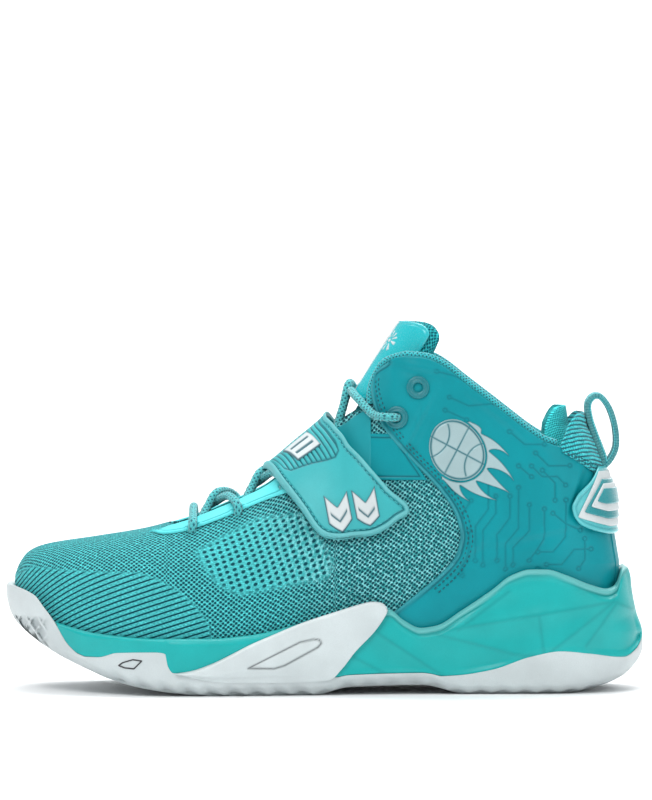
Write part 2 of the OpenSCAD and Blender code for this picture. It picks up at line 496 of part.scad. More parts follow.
// ---- strap ----
// Its front and rear edges over the instep, as [reach, x] and [reach, turn]; reach 1 is the lateral end.
FRONT_X = [[-1, 2], [-0.6, -12], [0, -29], [0.33, -22], [0.6, -11], [0.85, -1.5], [1, 8]];
FRONT_A = [[-1, 0.72], [-0.6, 0.5], [-0.3, 0.28], [0, 0], [0.33, 0.3], [0.6, 0.52], [0.85, 0.655],
    [1, 0.705]];
REAR_X = [[-1, 38], [-0.6, 17], [0, 0.8], [0.33, 6.3], [0.6, 17], [0.85, 33], [1, 42.5]];
REAR_A = [[-1, 0.82], [-0.6, 0.5], [-0.3, 0.28], [0, 0], [0.33, 0.312], [0.6, 0.545], [0.85, 0.783],
    [1, 0.857]];
function strap_rise(t) = curve([[-1, 1.7], [-0.62, 3.4], [-0.25, 5.6], [0.3, 5.6], [0.6, 3.6], [1, 3]], t);
// t along the strap from the medial end to the lateral end, v across it, from the front edge.
function strap_at(t, v, d) =
    let (low_bow = t > 0.6 ? 0.024 * ((t - 0.6) / 0.4)^2 : 0,
        fold_bow = -0.045 * clamp((-0.25 - t) / 0.3, 0, 1),
        x = mix(curve(FRONT_X, t), curve(REAR_X, t), v),
        a = mix(curve(FRONT_A, t), curve(REAR_A, t), v) + (low_bow + fold_bow) * sin(180 * v))
    arch(x, abs(a), t < 0 ? 1 : -1, strap_rise(t) + d);
fold_t = -0.56; // where the strap hinges at its medial anchor
strap_gap = 0.055;
strap_cells = [32, 8]; // cells along and across the strap; the outermost make its raised rim
strap_grid = function(u, v, d) strap_at(mix(fold_t, 1, u), v, d);
rim_cell = function(i, j) j == 0 || j == strap_cells[1] - 1 || i == strap_cells[0] - 1;
module strap_band() color([0.33, 0.78, 0.77])
    patch(strap_grid, strap_cells[0], strap_cells[1], 0, strap_t, false, function(i, j) !rim_cell(i, j));
module strap_rim() color([0.42, 0.86, 0.85])
    patch(strap_grid, strap_cells[0], strap_cells[1], 0, strap_t + 0.6, false, rim_cell);
module strap_anchor() color([0.33, 0.78, 0.77])
    patch(function(u, v, d) strap_at(mix(-1, fold_t - strap_gap, u), mix(0.02, 0.98, v), d),
        8, 6, 0, strap_t);
module loop_patch() color([0.1, 0.45, 0.47])
    patch(function(u, v, d) let (p = strap_at(mix(0.66, 0.93, u), mix(0.16, 0.84, v), 0))
        skin(p[0], p[2], -1, d), 6, 6, 1.65, 2.2);
module strap_hook_patch() color([0.08, 0.4, 0.42])
    patch(function(u, v, d) strap_at(mix(0.66, 0.93, u), mix(0.18, 0.82, v), d), 6, 6, -0.65, -0.15);
module strap_badges() color([0.86, 0.88, 0.88]) {
    // two raised bars near the end, and one on the ribbed field over the instep
    for (b = [[0.62, 0.78, 0.3, 0.46], [0.66, 0.82, 0.54, 0.7], [0.15, 0.32, 0.3, 0.68]])
        patch(function(u, v, d) strap_at(mix(b[0], b[1], u), mix(b[2], b[3], v), d), 5, 5,
            strap_t + 0.22, strap_t + 0.9);
}
module ball_badge() color([0.72, 0.82, 0.83]) {
    // a thin round badge on the lateral quarter
    c = [66, 113.5];
    r = 14.3;
    n = 24;
    d0 = 0.2 + overlay_t + 0.15;
    turn = function(v, d) [for (i = [0:n - 1])
        skin(c[0] + r * v * cos(360 * i / n), c[1] + r * v * sin(360 * i / n), -1, d)];
    stack([turn(0.2, d0), turn(0.6, d0), turn(1, d0),
        turn(1, d0 + 0.6), turn(0.6, d0 + 0.6), turn(0.2, d0 + 0.6)]);
}

module placed() scale(fit) children();
placed() outsole();
placed() midsole();
placed() shank_plate();
placed() side_plate_lateral();
placed() side_plate_medial();
placed() lasting_board();
placed() insole();
placed() vamp_toe();
placed() vamp_side_lateral();
placed() vamp_side_medial();
placed() toe_puff();
placed() quarter_lateral();
placed() quarter_medial();
placed() heel_counter();
placed() collar_foam();
placed() collar_lining();
placed() collar_binding();
placed() heel_pad();
placed() eyestay_lateral();
placed() eyestay_medial();
placed() eyelet_rings();
placed() heel_tab();
placed() heel_clip();
placed() heel_chevrons();
placed() loop_patch();
placed() ball_badge();
placed() tongue_base();
placed() tongue_flap();
placed() tongue_flap_lining();
placed() tongue_face();
placed() lace();
placed() lace_aglets();
placed() strap_anchor();
placed() strap_band();
placed() strap_rim();
placed() strap_hook_patch();
placed() strap_badges();
placed() pull_loop();
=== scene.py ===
from math import radians

import bpy
import bmesh
import numpy as np
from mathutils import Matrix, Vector, kdtree


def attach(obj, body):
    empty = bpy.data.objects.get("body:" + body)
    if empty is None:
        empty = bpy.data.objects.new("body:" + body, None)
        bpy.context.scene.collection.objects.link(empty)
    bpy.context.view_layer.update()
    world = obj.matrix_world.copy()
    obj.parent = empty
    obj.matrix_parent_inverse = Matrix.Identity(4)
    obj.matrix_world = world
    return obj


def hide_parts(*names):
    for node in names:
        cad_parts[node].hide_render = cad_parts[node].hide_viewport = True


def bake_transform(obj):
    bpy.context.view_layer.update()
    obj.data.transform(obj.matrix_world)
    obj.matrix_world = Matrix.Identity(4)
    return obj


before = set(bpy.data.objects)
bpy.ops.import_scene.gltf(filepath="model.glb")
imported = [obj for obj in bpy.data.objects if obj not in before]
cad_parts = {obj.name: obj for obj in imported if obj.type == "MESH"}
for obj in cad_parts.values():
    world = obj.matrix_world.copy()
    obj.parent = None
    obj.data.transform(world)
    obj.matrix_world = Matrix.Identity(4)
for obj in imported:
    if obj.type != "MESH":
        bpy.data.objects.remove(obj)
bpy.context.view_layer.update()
MM = 0.001

# ---------------------------------------------------------------- the shoe's body, in millimetres
TOE_X, HEEL_X, TOE_ROUND, HEEL_ROUND = -146, 137, 62, 42
CENTRE = [[-150, 11.3], [-110, 5.8], [-75, .8], [-40, -.7], [0, -.7], [40, .8], [80, 3.3], [150, 3.3]]
HALF = [[-150, 44], [-110, 47], [-75, 49.5], [-40, 46], [0, 40.5], [40, 37.5], [80, 36.5], [150, 35.5]]
LEVEL = [[-150, 46], [-145, 43.5], [-130, 37], [-110, 31], [-90, 28], [-60, 26], [0, 28], [40, 31],
         [80, 34], [150, 36]]
CREST = [[-147, 50], [-144, 58], [-140, 63.5], [-135, 66.3], [-129, 68], [-107, 71.5], [-84, 75.5],
         [-67, 80.3], [-45, 89.5], [-28, 98], [-14, 109.3], [0, 121.2], [8, 130.5], [14, 142], [20, 156],
         [24, 168], [30, 190], [36, 215], [50, 250], [150, 250]]
SQUARE = [[-150, 2.2], [-90, 2.2], [-40, 1.9], [0, 1.8], [20, 2], [60, 2.3], [150, 2.3]]
GROUND = [[-150, 33], [-144, 28], [-136, 22.7], [-126, 17.6], [-110, 11], [-100, 7.2], [-86, 3.6],
          [-67, 1], [-50, 0], [-5, 0], [12, 3.5], [45, 4.2], [66, 0], [112, 0], [128, 2.4], [140, 6],
          [150, 12]]
LIP = [[-150, 49.6], [-142.5, 48.2], [-135.5, 45.4], [-131, 40.2], [-125.6, 33.2], [-119, 22.5],
       [-112, 17.6], [-105, 17.7], [-96, 20], [-78, 20.6], [-73.6, 20], [-72.6, 14.5], [-70, 11],
       [-61, 11], [-54, 10.2], [-30, 9], [5, 8.5], [50, 8.5], [62, 9], [78, 11.5], [96, 17.5], [110, 20],
       [124, 18.7], [140, 16.6], [146, 20], [150, 26]]
CUFF = [[-150, 45], [-145, 42], [-140, 38.5], [-133, 35.5], [-125.6, 33.2], [-105, 28.5], [-77, 26.7],
        [-53, 26.7], [-35, 28.1], [0, 36], [22, 40], [30, 39.6], [37, 34.5], [44.7, 31], [52, 32],
        [63.4, 38.8], [77.5, 48.2], [86.8, 55.2], [96, 58], [103, 58], [112.6, 55.2], [124, 50.5],
        [132, 48.3], [136, 49.6], [139.5, 57], [143, 60]]
BED = [[-150, 43], [-145, 40], [-140, 35.5], [-133, 30], [-125, 25], [-110, 19], [-90, 14.5], [-60, 11.5],
       [-40, 11], [0, 14.5], [40, 19], [80, 22], [120, 24], [150, 25]]
SOLE_TOE = [[20, -138], [27.5, -144], [31.6, -146.7], [38, -149], [44, -150], [48, -149.9], [50, -148.9]]
SOLE_HEEL = [[0, 139], [4, 143], [8, 145.5], [14, 148.2], [20, 149.9], [27, 149.6], [36, 146.8],
             [46, 144.8], [55, 143.8], [60, 142]]
SOLE_FLARE, OUTSOLE_T, KNIT_T, OVERLAY_T, STRAP_T = 6, 4.5, 1.4, 1.2, 2.2
HEEL_STRAIGHT = 68
SIDES = ((-1, "lateral"), (1, "medial"))


def curve(knots, x):
    """A smooth line through [place, value] knots that never overshoots them."""
    k = np.asarray(knots, float)
    at, val = k[:, 0], k[:, 1]
    chord = np.diff(val) / np.diff(at)
    a, b = chord[:-1], chord[1:]
    mid = np.where(a * b <= 0, 0, 2 * a * b / np.where(np.abs(a + b) < 1e-12, 1, a + b))
    slope = np.concatenate([[chord[0]], mid, [chord[-1]]])
    x = np.asarray(x, float)
    i = np.clip(np.searchsorted(at, x, "right") - 1, 0, len(at) - 2)
    h = at[i + 1] - at[i]
    t = np.clip((x - at[i]) / h, 0, 1)
    return (val[i] * (2 * t**3 - 3 * t**2 + 1) + slope[i] * h * (t**3 - 2 * t**2 + t)
            + val[i + 1] * (3 * t**2 - 2 * t**3) + slope[i + 1] * h * (t**3 - t**2))


def mix(a, b, t):
    return a + (b - a) * t


def clamp(v, lo=0.0, hi=1.0):
    return np.clip(v, lo, hi)


def smooth(v, lo, hi):
    t = clamp((v - lo) / (hi - lo))
    return t * t * (3 - 2 * t)


def point(x, y, z):
    return np.stack(np.broadcast_arrays(x, y, z), -1)


def round_end(t, p):
    return (1 - (1 - clamp(t))**p)**(1 / p)


def half(x, d):
    """The body's half width at section x, stood off by d."""
    return (curve(HALF, x) + d) * round_end((x - TOE_X + d) / TOE_ROUND, 2.2) * round_end(
        (HEEL_X + d - x) / HEEL_ROUND, 2.3)


def lean(x, z):
    """How far the rear of the body leans forward at height z."""
    return -(0.17 * np.maximum(0, z - 60) + 0.006 * np.maximum(0, np.minimum(z, 124) - 95)**2) * clamp(
        (x - 20) / (HEEL_X - 20))


def skin(x, z, side, d):
    """The body beside section x at height z, on side -1 (outer) or 1 (inner), stood off by d."""
    n, low = curve(SQUARE, x), curve(LEVEL, x)
    t = clamp((z - low) / (curve(CREST, x) + d - low))
    tuck = 0.12 * clamp((-60 - x) / 50) * clamp((low - z) / 12)**2
    return point(x + lean(x, z), curve(CENTRE, x) + side * half(x, d) * (1 - tuck) * (1 - t**n)**(1 / n), z)


def arch(x, a, side, d):
    """The body by the turn over the instep: 0 on the crest, 1 at the widest level."""
    n, low = curve(SQUARE, x), curve(LEVEL, x)
    q = np.pi / 2 * clamp(a)
    z = low + (curve(CREST, x) + d - low) * clamp(np.cos(q))**(2 / n)
    return point(x + lean(x, z), curve(CENTRE, x) + side * half(x, d) * clamp(np.sin(q))**(2 / n), z)


def turn_at(x, z):
    """The turn over the instep at height z, as arch() takes it."""
    low = curve(LEVEL, x)
    return np.arccos(clamp((z - low) / (curve(CREST, x) - low))**(curve(SQUARE, x) / 2)) * 2 / np.pi


def sole_skin(x, z, side, e):
    """The sole's side at section x and height z, pulled out by e."""
    toe = round_end((x - curve(SOLE_TOE, z) + e) / TOE_ROUND, 2.3)
    heel = round_end((curve(SOLE_HEEL, z) + e - x) / HEEL_ROUND, 2.3)
    w = (curve(HALF, x) + SOLE_FLARE + e) * toe * heel
    return point(x, curve(CENTRE, x) + side * w, z)


def heel_x_at(a, d):
    """The section at the turn a round the heel: 0 at the back seam, 1 where the heel's round ends."""
    rounded = HEEL_ROUND * (1 - np.cos(np.pi / 2 * np.minimum(a, 1))**(2 / 2.3))
    return HEEL_X + d - rounded - HEEL_STRAIGHT * np.maximum(0, a - 1)


def heel_turn(x):
    """The turn round the heel at section x."""
    x = np.asarray(x, float)
    on_round = np.arccos(clamp(1 - (HEEL_X - x) / HEEL_ROUND)**1.15) * 2 / np.pi
    return np.where(x > HEEL_X - HEEL_ROUND, on_round, 1 + (HEEL_X - HEEL_ROUND - x) / HEEL_STRAIGHT)


def wrap(t, x0, d, f):
    """A band round the heel from section x0 on one side to x0 on the other: t runs from the outer front, by
    the back, to the inner one; f takes the section, the side and how far back the point is."""
    s = np.abs(2 * t - 1)
    return f(heel_x_at(heel_turn(x0) * s, d * (1 - s**3)), np.where(t < 0.5, -1, 1), 1 - s)


def crossed(pts, m):
    """A smooth line through the points, with m steps to each span."""
    p = np.asarray(pts, float)
    p = np.vstack([2 * p[0] - p[1], p, 2 * p[-1] - p[-2]])
    t = np.arange(m)[:, None] / m
    spans = [0.5 * (2 * b + (c - a) * t + (2 * a - 5 * b + 4 * c - e) * t**2 + (3 * b - a - 3 * c + e) * t**3)
             for a, b, c, e in zip(p, p[1:], p[2:], p[3:])]
    return np.vstack(spans + [p[-2:-1]])


def unit(v):
    return v / np.maximum(np.linalg.norm(v, axis=-1, keepdims=True), 1e-9)


def bell(v, at, wide):
    """1 where v is at its place, falling off to 0 over the width."""
    return np.exp(-((v - at) / wide)**2)


def saw(v):
    """A zigzag of period 1, from 0 halfway through each period to 1 at its ends."""
    return np.abs(v % 1 - 0.5) * 2


def grid(a, b):
    return np.meshgrid(a, b, indexing="ij")


def run(path):
    """How far each point is along its path."""
    return np.concatenate([[0], np.cumsum(np.linalg.norm(np.diff(path, axis=0), axis=-1))])


def circle(q, a, b):
    """Points at the angles q on the circle of the axes a and b."""
    return np.cos(q)[..., None] * a + np.sin(q)[..., None] * b


# ---------------------------------------------------------------- meshes
def near(P, Q, flat=False):
    """How far each point of P is from the nearest of Q; with flat, in side view only."""
    keep = np.array([1.0, 0.0, 1.0]) if flat else np.ones(3)
    Q = np.asarray(Q, float).reshape(-1, 3) * keep
    tree = kdtree.KDTree(len(Q))
    for i, q in enumerate(Q):
        tree.insert(q, i)
    tree.balance()
    return np.array([tree.find(p)[2] for p in (P.reshape(-1, 3) * keep)]).reshape(P.shape[:-1])


def dense(line, step=0.35):
    """The line's points, close together."""
    line = np.asarray(line, float)
    if line.shape[1] == 2:
        line = np.insert(line, 1, 0, axis=1)
    out = [line[:1]]
    for a, b in zip(line, line[1:]):
        n = max(1, int(np.linalg.norm(b - a) / step))
        out.append(a + (b - a) * (np.arange(1, n + 1)[:, None] / n))
    return np.vstack(out)


def rim(P, edges):
    """The edge points of a grid: n and s are its first and last rows, w and e its first and last columns."""
    lines = {"n": P[0], "s": P[-1], "w": P[:, 0], "e": P[:, -1]}
    return np.vstack([dense(lines[k]) for k in edges])


def inside(P, outline, soft=0.8):
    """1 inside an outline in side view, 0 outside it, with a soft edge."""
    x, z = P[..., 0], P[..., 2]
    o = np.asarray(outline, float)
    odd = np.zeros(x.shape, bool)
    for (x0, z0), (x1, z1) in zip(o, np.roll(o, -1, 0)):
        if z0 != z1:
            odd ^= ((z0 > z) != (z1 > z)) & (x < (x1 - x0) * (z - z0) / (z1 - z0) + x0)
    d = near(P, dense(np.vstack([o, o[:1]])), True)
    return smooth(np.where(odd, d, -d), -soft, soft)


def roll(d, r):
    return np.sqrt(clamp(1 - (1 - clamp(d / r))**2))


def outward(V, F):
    """The quads of a closed mesh as lists, all turned to face outwards."""
    a, b, c, e = (V[F[:, k]] for k in range(4))
    vol = np.einsum("ij,ij->", a, np.cross(b, c)) + np.einsum("ij,ij->", a, np.cross(c, e))
    return (F if vol > 0 else F[:, ::-1]).tolist()


def make(name, V, F, body, mat, slot, stands=(), attrs=None, weld=0.0):
    """A piece from points in millimetres and lists of faces, riding on its body."""
    me = bpy.data.meshes.new(name)
    me.from_pydata((V * MM).tolist(), [], F)
    for key, val in (attrs or {}).items():
        kind = "FLOAT_VECTOR" if np.ndim(val) == 2 else "FLOAT"
        me.attributes.new(key, kind, "POINT").data.foreach_set(
            "vector" if kind == "FLOAT_VECTOR" else "value", np.asarray(val, np.float32).ravel())
    if weld:
        bm = bmesh.new()
        bm.from_mesh(me)
        bmesh.ops.remove_doubles(bm, verts=bm.verts, dist=weld * MM)
        bmesh.ops.dissolve_degenerate(bm, edges=bm.edges, dist=weld * MM * 0.5)
        bm.to_mesh(me)
        bm.free()
    me.validate()
    me.polygons.foreach_set("use_smooth", [True] * len(me.polygons))
    obj = bpy.data.objects.new(name, me)
    bpy.context.scene.collection.objects.link(obj)
    me.materials.append(mat)
    if body:
        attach(obj, body)
    if stands:
        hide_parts(*stands)
    return obj


def run_lengths(P):
    """How far each grid point is along its row and column, in millimetres."""
    du = np.zeros(P.shape[:2])
    dv = np.zeros(P.shape[:2])
    du[1:] = np.cumsum(np.linalg.norm(np.diff(P, axis=0), axis=-1), 0)
    dv[:, 1:] = np.cumsum(np.linalg.norm(np.diff(P, axis=1), axis=-1), 1)
    dv -= dv[:, dv.shape[1] // 2][:, None]
    return np.stack([du, dv, 0 * du], -1)


def shell(name, outer, inner, body, mat, slot, stands=(), on=None, attrs=None, weld=0.0):
    """A closed sheet between two grids of points."""
    nu, nv = outer.shape[:2]
    idx = np.arange(nu * nv).reshape(nu, nv)
    under = nu * nv
    has = np.ones((nu - 1, nv - 1), bool) if on is None else on
    a, b, c, e = idx[:-1, :-1], idx[:-1, 1:], idx[1:, 1:], idx[1:, :-1]
    quads = [np.stack([a, e, c, b], -1)[has], np.stack([a, b, c, e], -1)[has] + under]
    pad = np.pad(has, 1)
    for p, q, other in ((a, e, pad[1:-1, :-2]), (c, b, pad[1:-1, 2:]), (b, a, pad[:-2, 1:-1]),
                        (e, c, pad[2:, 1:-1])):
        edge = has & ~other
        p, q = p[edge], q[edge]
        quads.append(np.stack([p, p + under, q + under, q], -1))
    V = np.concatenate([outer.reshape(-1, 3), inner.reshape(-1, 3)])
    F = np.concatenate(quads)
    every = {"mm": run_lengths(outer)}
    every.update(attrs or {})
    full = {k: np.concatenate([v.reshape(under, -1)] * 2).squeeze() for k, v in every.items()}
    if on is not None:
        used = np.unique(F)
        back = np.zeros(len(V), int)
        back[used] = np.arange(len(used))
        V, F, full = V[used], back[F], {k: v[used] for k, v in full.items()}
    return make(name, V, outward(V, F), body, mat, slot, stands, full, weld)


def steps(n, fine=0.004):
    """n even steps from 0 to 1, with two more close to each end."""
    return np.unique(np.concatenate([np.linspace(0, 1, n), [fine * 0.3, fine, 1 - fine, 1 - fine * 0.3]]))


def film(name, f, us, vs, t0, t1, body, mat, slot, stands=(), r=0.8, edges="nsew", detail=None, **more):
    """A film from stand-off t0 to t1 over f(u, v, d), its edges rolled over, with detail(P, D, U, V) added:
    P is where each point is, D how far it is from the edge."""
    U, V = grid(us, vs)
    P = f(U, V, np.full(U.shape, (t0 + t1) / 2.0))
    D = near(P, rim(P, edges)) if edges else np.full(U.shape, 99.0)
    h = t0 + (t1 - t0) * roll(D, r)
    attrs = {}
    if detail:
        rise, attrs = detail(P, D, U, V)
        h = np.maximum(h + rise, t0 + 0.05)
    under = f(U, V, np.full(U.shape, float(t0)))
    return shell(name, f(U, V, h), under, body, mat, slot, stands, attrs=attrs, **more)


def turned(path):
    """Tangents and two normals along a path, carried without twist."""
    t = unit(np.gradient(path, axis=0))
    n = np.zeros_like(path)
    prev = np.array([0.9, 0.3, 0.2])
    for i in range(len(path)):
        prev = unit(prev - prev.dot(t[i]) * t[i])
        n[i] = prev
    return t, n, np.cross(t, n)


def loops(rings, name, body, mat, slot, stands=(), caps=True, **more):
    """A closed tube through rings of points of the same count."""
    m, n = rings.shape[:2]
    idx = np.arange(m * n).reshape(m, n)
    nxt = np.roll(idx, -1, 1)
    F = np.stack([idx[:-1], nxt[:-1], nxt[1:], idx[1:]], -1).reshape(-1, 4)
    V = rings.reshape(-1, 3)
    if caps:
        ends = [rings[0].mean(0), rings[-1].mean(0)]
        c = len(V)
        V = np.vstack([V, ends])
        F = np.vstack([F, np.stack([nxt[0], idx[0], np.full(n, c), np.full(n, c)], -1),
                       np.stack([idx[-1], nxt[-1], np.full(n, c + 1), np.full(n, c + 1)], -1)])
    faces = [list(dict.fromkeys(f)) for f in outward(V, F)]
    length = run(rings.mean(1))
    around = np.arange(n) / n * 2 * np.pi * np.linalg.norm(rings[m // 2][0] - rings[m // 2].mean(0))
    mm = np.stack(np.broadcast_arrays(length[:, None], around[None], 0), -1).reshape(-1, 3)
    full = {"mm": np.vstack([mm, np.zeros((len(V) - len(mm), 3))])}
    return make(name, V, faces, body, mat, slot, stands, full, **more)


def braid(path, r, sides=16, pitch=3.2, depth=0.09):
    """Rings of a round braided cord along a path."""
    t, n, b = turned(path)
    s = run(path)[:, None]
    q = np.arange(sides)[None] / sides * 2 * np.pi
    plait = np.abs(np.sin(4 * q + s / pitch * np.pi)) * np.abs(np.sin(4 * q - s / pitch * np.pi))
    rad = r * (1 - depth + depth * 1.6 * plait)
    return path[:, None] + rad[..., None] * circle(q, n[:, None], b[:, None])


def even(path, step):
    """The path's points at an even step."""
    path = np.asarray(path, float)
    s = run(path)
    at = np.linspace(0, s[-1], max(2, int(s[-1] / step)))
    return np.stack([np.interp(at, s, path[:, k]) for k in range(3)], -1)


def stitches(name, lines, normals, body, mat, slot, length=1.7, gap=1.0, r=0.32):
    """Separate stitches along lines of points, each a small capsule lying on the face."""
    V, F, count = [], [], 0
    q = np.arange(6) / 6 * 2 * np.pi
    for path, up in zip(lines, normals):
        path = np.asarray(path, float)
        s = run(path)
        for a in np.arange(gap, s[-1] - length, length + gap):
            ends = [np.array([np.interp(a + k * length, s, path[:, j]) for j in range(3)]) for k in (0, 1)]
            w = np.array([np.interp(a, s, np.asarray(up)[:, j]) for j in range(3)])
            t = unit(ends[1] - ends[0])
            side = unit(np.cross(t, w))
            for f, k in ((0.0, 0.35), (0.25, 1.0), (0.75, 1.0), (1.0, 0.35)):
                mid = mix(ends[0], ends[1], f) + w * (0.1 if 0 < f < 1 else -0.12)
                V.extend(mid + k * r * circle(q, side, unit(w)))
            for ring in range(3):
                o = count + ring * 6
                F.extend([o + j, o + (j + 1) % 6, o + 6 + (j + 1) % 6, o + 6 + j] for j in range(6))
            F.append([count + 5 - j for j in range(6)])
            F.append([count + 18 + j for j in range(6)])
            count += 24
    return make(name, np.array(V), F, body, mat, slot)


# ---------------------------------------------------------------- materials
class Mat:
    """A material, with short ways to add nodes to it."""

    def __init__(self, name, color, rough=0.5, **sockets):
        self.m = bpy.data.materials.new(name)
        self.m.use_nodes = True
        self.t = self.m.node_tree
        self.p = self.t.nodes["Principled BSDF"]
        self.set("Base Color", color)
        self.set("Roughness", rough)
        for key, value in sockets.items():
            self.set(key.replace("_", " "), value)

    def set(self, key, value):
        if isinstance(value, bpy.types.NodeSocket):
            self.t.links.new(value, self.p.inputs[key])
        else:
            rgb = isinstance(value, tuple) and len(value) == 3
            self.p.inputs[key].default_value = (*value, 1) if rgb else value

    def node(self, kind, ins=None, out=0, **props):
        n = self.t.nodes.new("ShaderNode" + kind)
        for k, v in props.items():
            setattr(n, k, v)
        for k, v in (ins or {}).items():
            if isinstance(v, bpy.types.NodeSocket):
                self.t.links.new(v, n.inputs[k])
            else:
                n.inputs[k].default_value = v
        return n.outputs[out]

    def attr(self, name, out="Fac"):
        return self.node("Attribute", attribute_name=name, out=out)

    def place(self, turn=0.0, stretch=(1, 1, 1), own=True):
        """Where a point is in millimetres: along the piece's own face, or in the shoe's frame."""
        src = self.attr("mm", "Vector") if own else self.node("TexCoord", out="Object")
        k = 1 if own else 1000
        return self.node("Mapping", {"Vector": src, "Rotation": (0, 0, radians(turn)),
                                     "Scale": tuple(k * s for s in stretch)})

    def math(self, op, a, b=0.0, c=0.0):
        return self.node("Math", {0: a, 1: b, 2: c}, operation=op)

    def noise(self, at, scale, detail=3.0, rough=0.5):
        return self.node("TexNoise", {"Vector": at, "Scale": scale, "Detail": detail, "Roughness": rough})

    def cells(self, at, scale, random=0.1):
        return self.node("TexVoronoi", {"Vector": at, "Scale": scale, "Randomness": random},
                         voronoi_dimensions="2D")

    def wave(self, at, length, distort=0.0, direction="X"):
        """Bands of the given length in millimetres."""
        return self.node("TexWave", {"Vector": at, "Scale": 0.314159 / length, "Distortion": distort,
                                     "Detail": 1.0}, bands_direction=direction, out="Fac")

    def span(self, v, a, b, c=0.0, d=1.0):
        return self.node("MapRange", {"Value": v, "From Min": a, "From Max": b, "To Min": c, "To Max": d},
                         interpolation_type="SMOOTHSTEP")

    def blend(self, f, a, b, how="MIX"):
        n = self.t.nodes.new("ShaderNodeMix")
        n.data_type, n.blend_type = "RGBA", how
        for k, v in ((0, f), (6, a), (7, b)):
            if isinstance(v, bpy.types.NodeSocket):
                self.t.links.new(v, n.inputs[k])
            else:
                n.inputs[k].default_value = (*v, 1) if isinstance(v, tuple) else v
        return n.outputs[2]

    def bump(self, height, strength, depth, under=None):
        ins = {"Height": height, "Strength": strength, "Distance": depth * MM}
        if under is not None:
            ins["Normal"] = under
        return self.node("Bump", ins)


def shade(color, k):
    return tuple(min(1.0, c * k) for c in color)


WHITE = (0.565, 0.625, 0.635)
TEAL_FILM = (0.001, 0.248, 0.29)
TEAL_FOAM = (0.006, 0.365, 0.36)
TEAL_LIGHT = (0.035, 0.385, 0.41)
TEAL_STAY = (0.11, 0.70, 0.73)
TEAL_KNIT = (0.075, 0.56, 0.58)
TEAL_DARK = (0.002, 0.095, 0.125)
KNIT_PALE = (0.30, 0.72, 0.75)
TEAL_DEEP = (0.004, 0.21, 0.255)
SILVER = (0.34, 0.475, 0.495)


def moulded(name, color, rough=0.45, grain=0.12, line=TEAL_DARK, **sockets):
    """Moulded rubber, foam or film: fine grain, a little unevenness, dark lines (drawn lines and seams, and
    painted shade in grooves, pockets and along creases) and a painted highlight on raised edges.
    """
    m = Mat(name, color, rough, **sockets)
    at = m.place(own=False)
    broad = m.noise(at, 0.045, 3.0)
    fine = m.noise(at, 1.9, 4.0, 0.6)
    tone = m.blend(m.span(broad, 0.3, 0.7), shade(color, 0.93), shade(color, 1.06))
    tone = m.blend(m.span(fine, 0.35, 0.7, 0.0, 0.25), tone, shade(color, 0.8))
    # pale: a painted highlight, a lighter colour on raised edges
    tone = m.blend(m.attr("pale"), tone, tuple(mix(c, 0.9, 0.22) for c in color))
    # line: dark lines, both drawn lines and seams and painted shade in grooves, pockets and along creases
    m.set("Base Color", m.blend(m.attr("line"), tone, line))
    m.set("Roughness", m.span(fine, 0.3, 0.7, rough - 0.06, rough + 0.08))
    m.set("Normal", m.bump(fine, grain, 0.12))
    return m.m


def knitted(name, color, dark, pitch=1.75, turn=45, deep=0.55, zones=False):
    """Knit: staggered stitches with dark gaps and yarn grain; with zones, also open work and dark ribs."""
    m = Mat(name, color, 0.85, Sheen_Weight=0.06, Sheen_Roughness=0.5, Specular_IOR_Level=0.12)
    at = m.place(turn, (1.0, 1.12, 1.0))
    gap = m.cells(at, 1 / pitch, 0.16)
    hole = m.span(gap, 0.27, 0.50, 1.0, 0.0)
    yarn = m.wave(m.place(turn + 30), 0.55 * pitch, 1.6)
    fleck = m.noise(m.place(), 0.9, 3.0)
    broad = m.noise(m.place(), 0.05, 2.0)
    if zones:
        zone = m.attr("zone")
        big = m.cells(m.place(14, (1 / 3.4, 1 / 2.8, 1)), 1.0, 0.06)
        rise = m.math("FRACT", m.attr("rise"))
        rise = m.math("MULTIPLY", m.math("ABSOLUTE", m.math("SUBTRACT", rise, 0.5)), 2.0)
        groove = m.math("MULTIPLY", m.span(rise, 0.54, 0.80), m.attr("band"))
        ladder = m.wave(m.place(70), 1.35, 0.2)
        hole = m.math("MAXIMUM", m.math("MULTIPLY", hole, m.span(zone, 0.0, 1.0, 1.0, 0.2)),
                      m.math("MULTIPLY", m.span(big, 0.20, 0.40, 1.0, 0.0), zone))
        in_ribs = m.span(m.attr("band"), 0.0, 1.0, 1.0, 0.25)
        hole = m.math("MAXIMUM", m.math("MULTIPLY", hole, in_ribs), groove)
    tone = m.blend(m.span(fleck, 0.38, 0.68), shade(color, 0.82), shade(color, 1.36))
    tone = m.blend(m.span(broad, 0.3, 0.7, 0.0, 0.3), tone, shade(color, 0.8))
    tone = m.blend(m.span(yarn, 0.2, 0.8, 0.0, 0.35), tone, shade(color, 0.5))
    if zones:
        streak = m.noise(m.place(20, (1.0, 0.5, 1)), 0.75, 2.0)
        mixed = m.blend(m.span(streak, 0.42, 0.6), shade(color, 0.34), KNIT_PALE)
        tone = m.blend(m.math("MULTIPLY", m.attr("melange"), 0.6), tone, mixed)
        rungs = m.math("MULTIPLY", ladder, m.math("MULTIPLY", m.attr("band"), 0.14))
        tone = m.blend(rungs, tone, shade(color, 1.5))
        tone = m.blend(m.math("MULTIPLY", m.attr("band"), 0.2), tone, shade(color, 0.4))
    m.set("Base Color", m.blend(hole, tone, dark))
    lift = m.math("SUBTRACT", m.math("MULTIPLY", yarn, 0.3), hole)
    m.set("Normal", m.bump(lift, deep, 0.55, m.bump(fleck, 0.3, 0.2)))
    return m.m


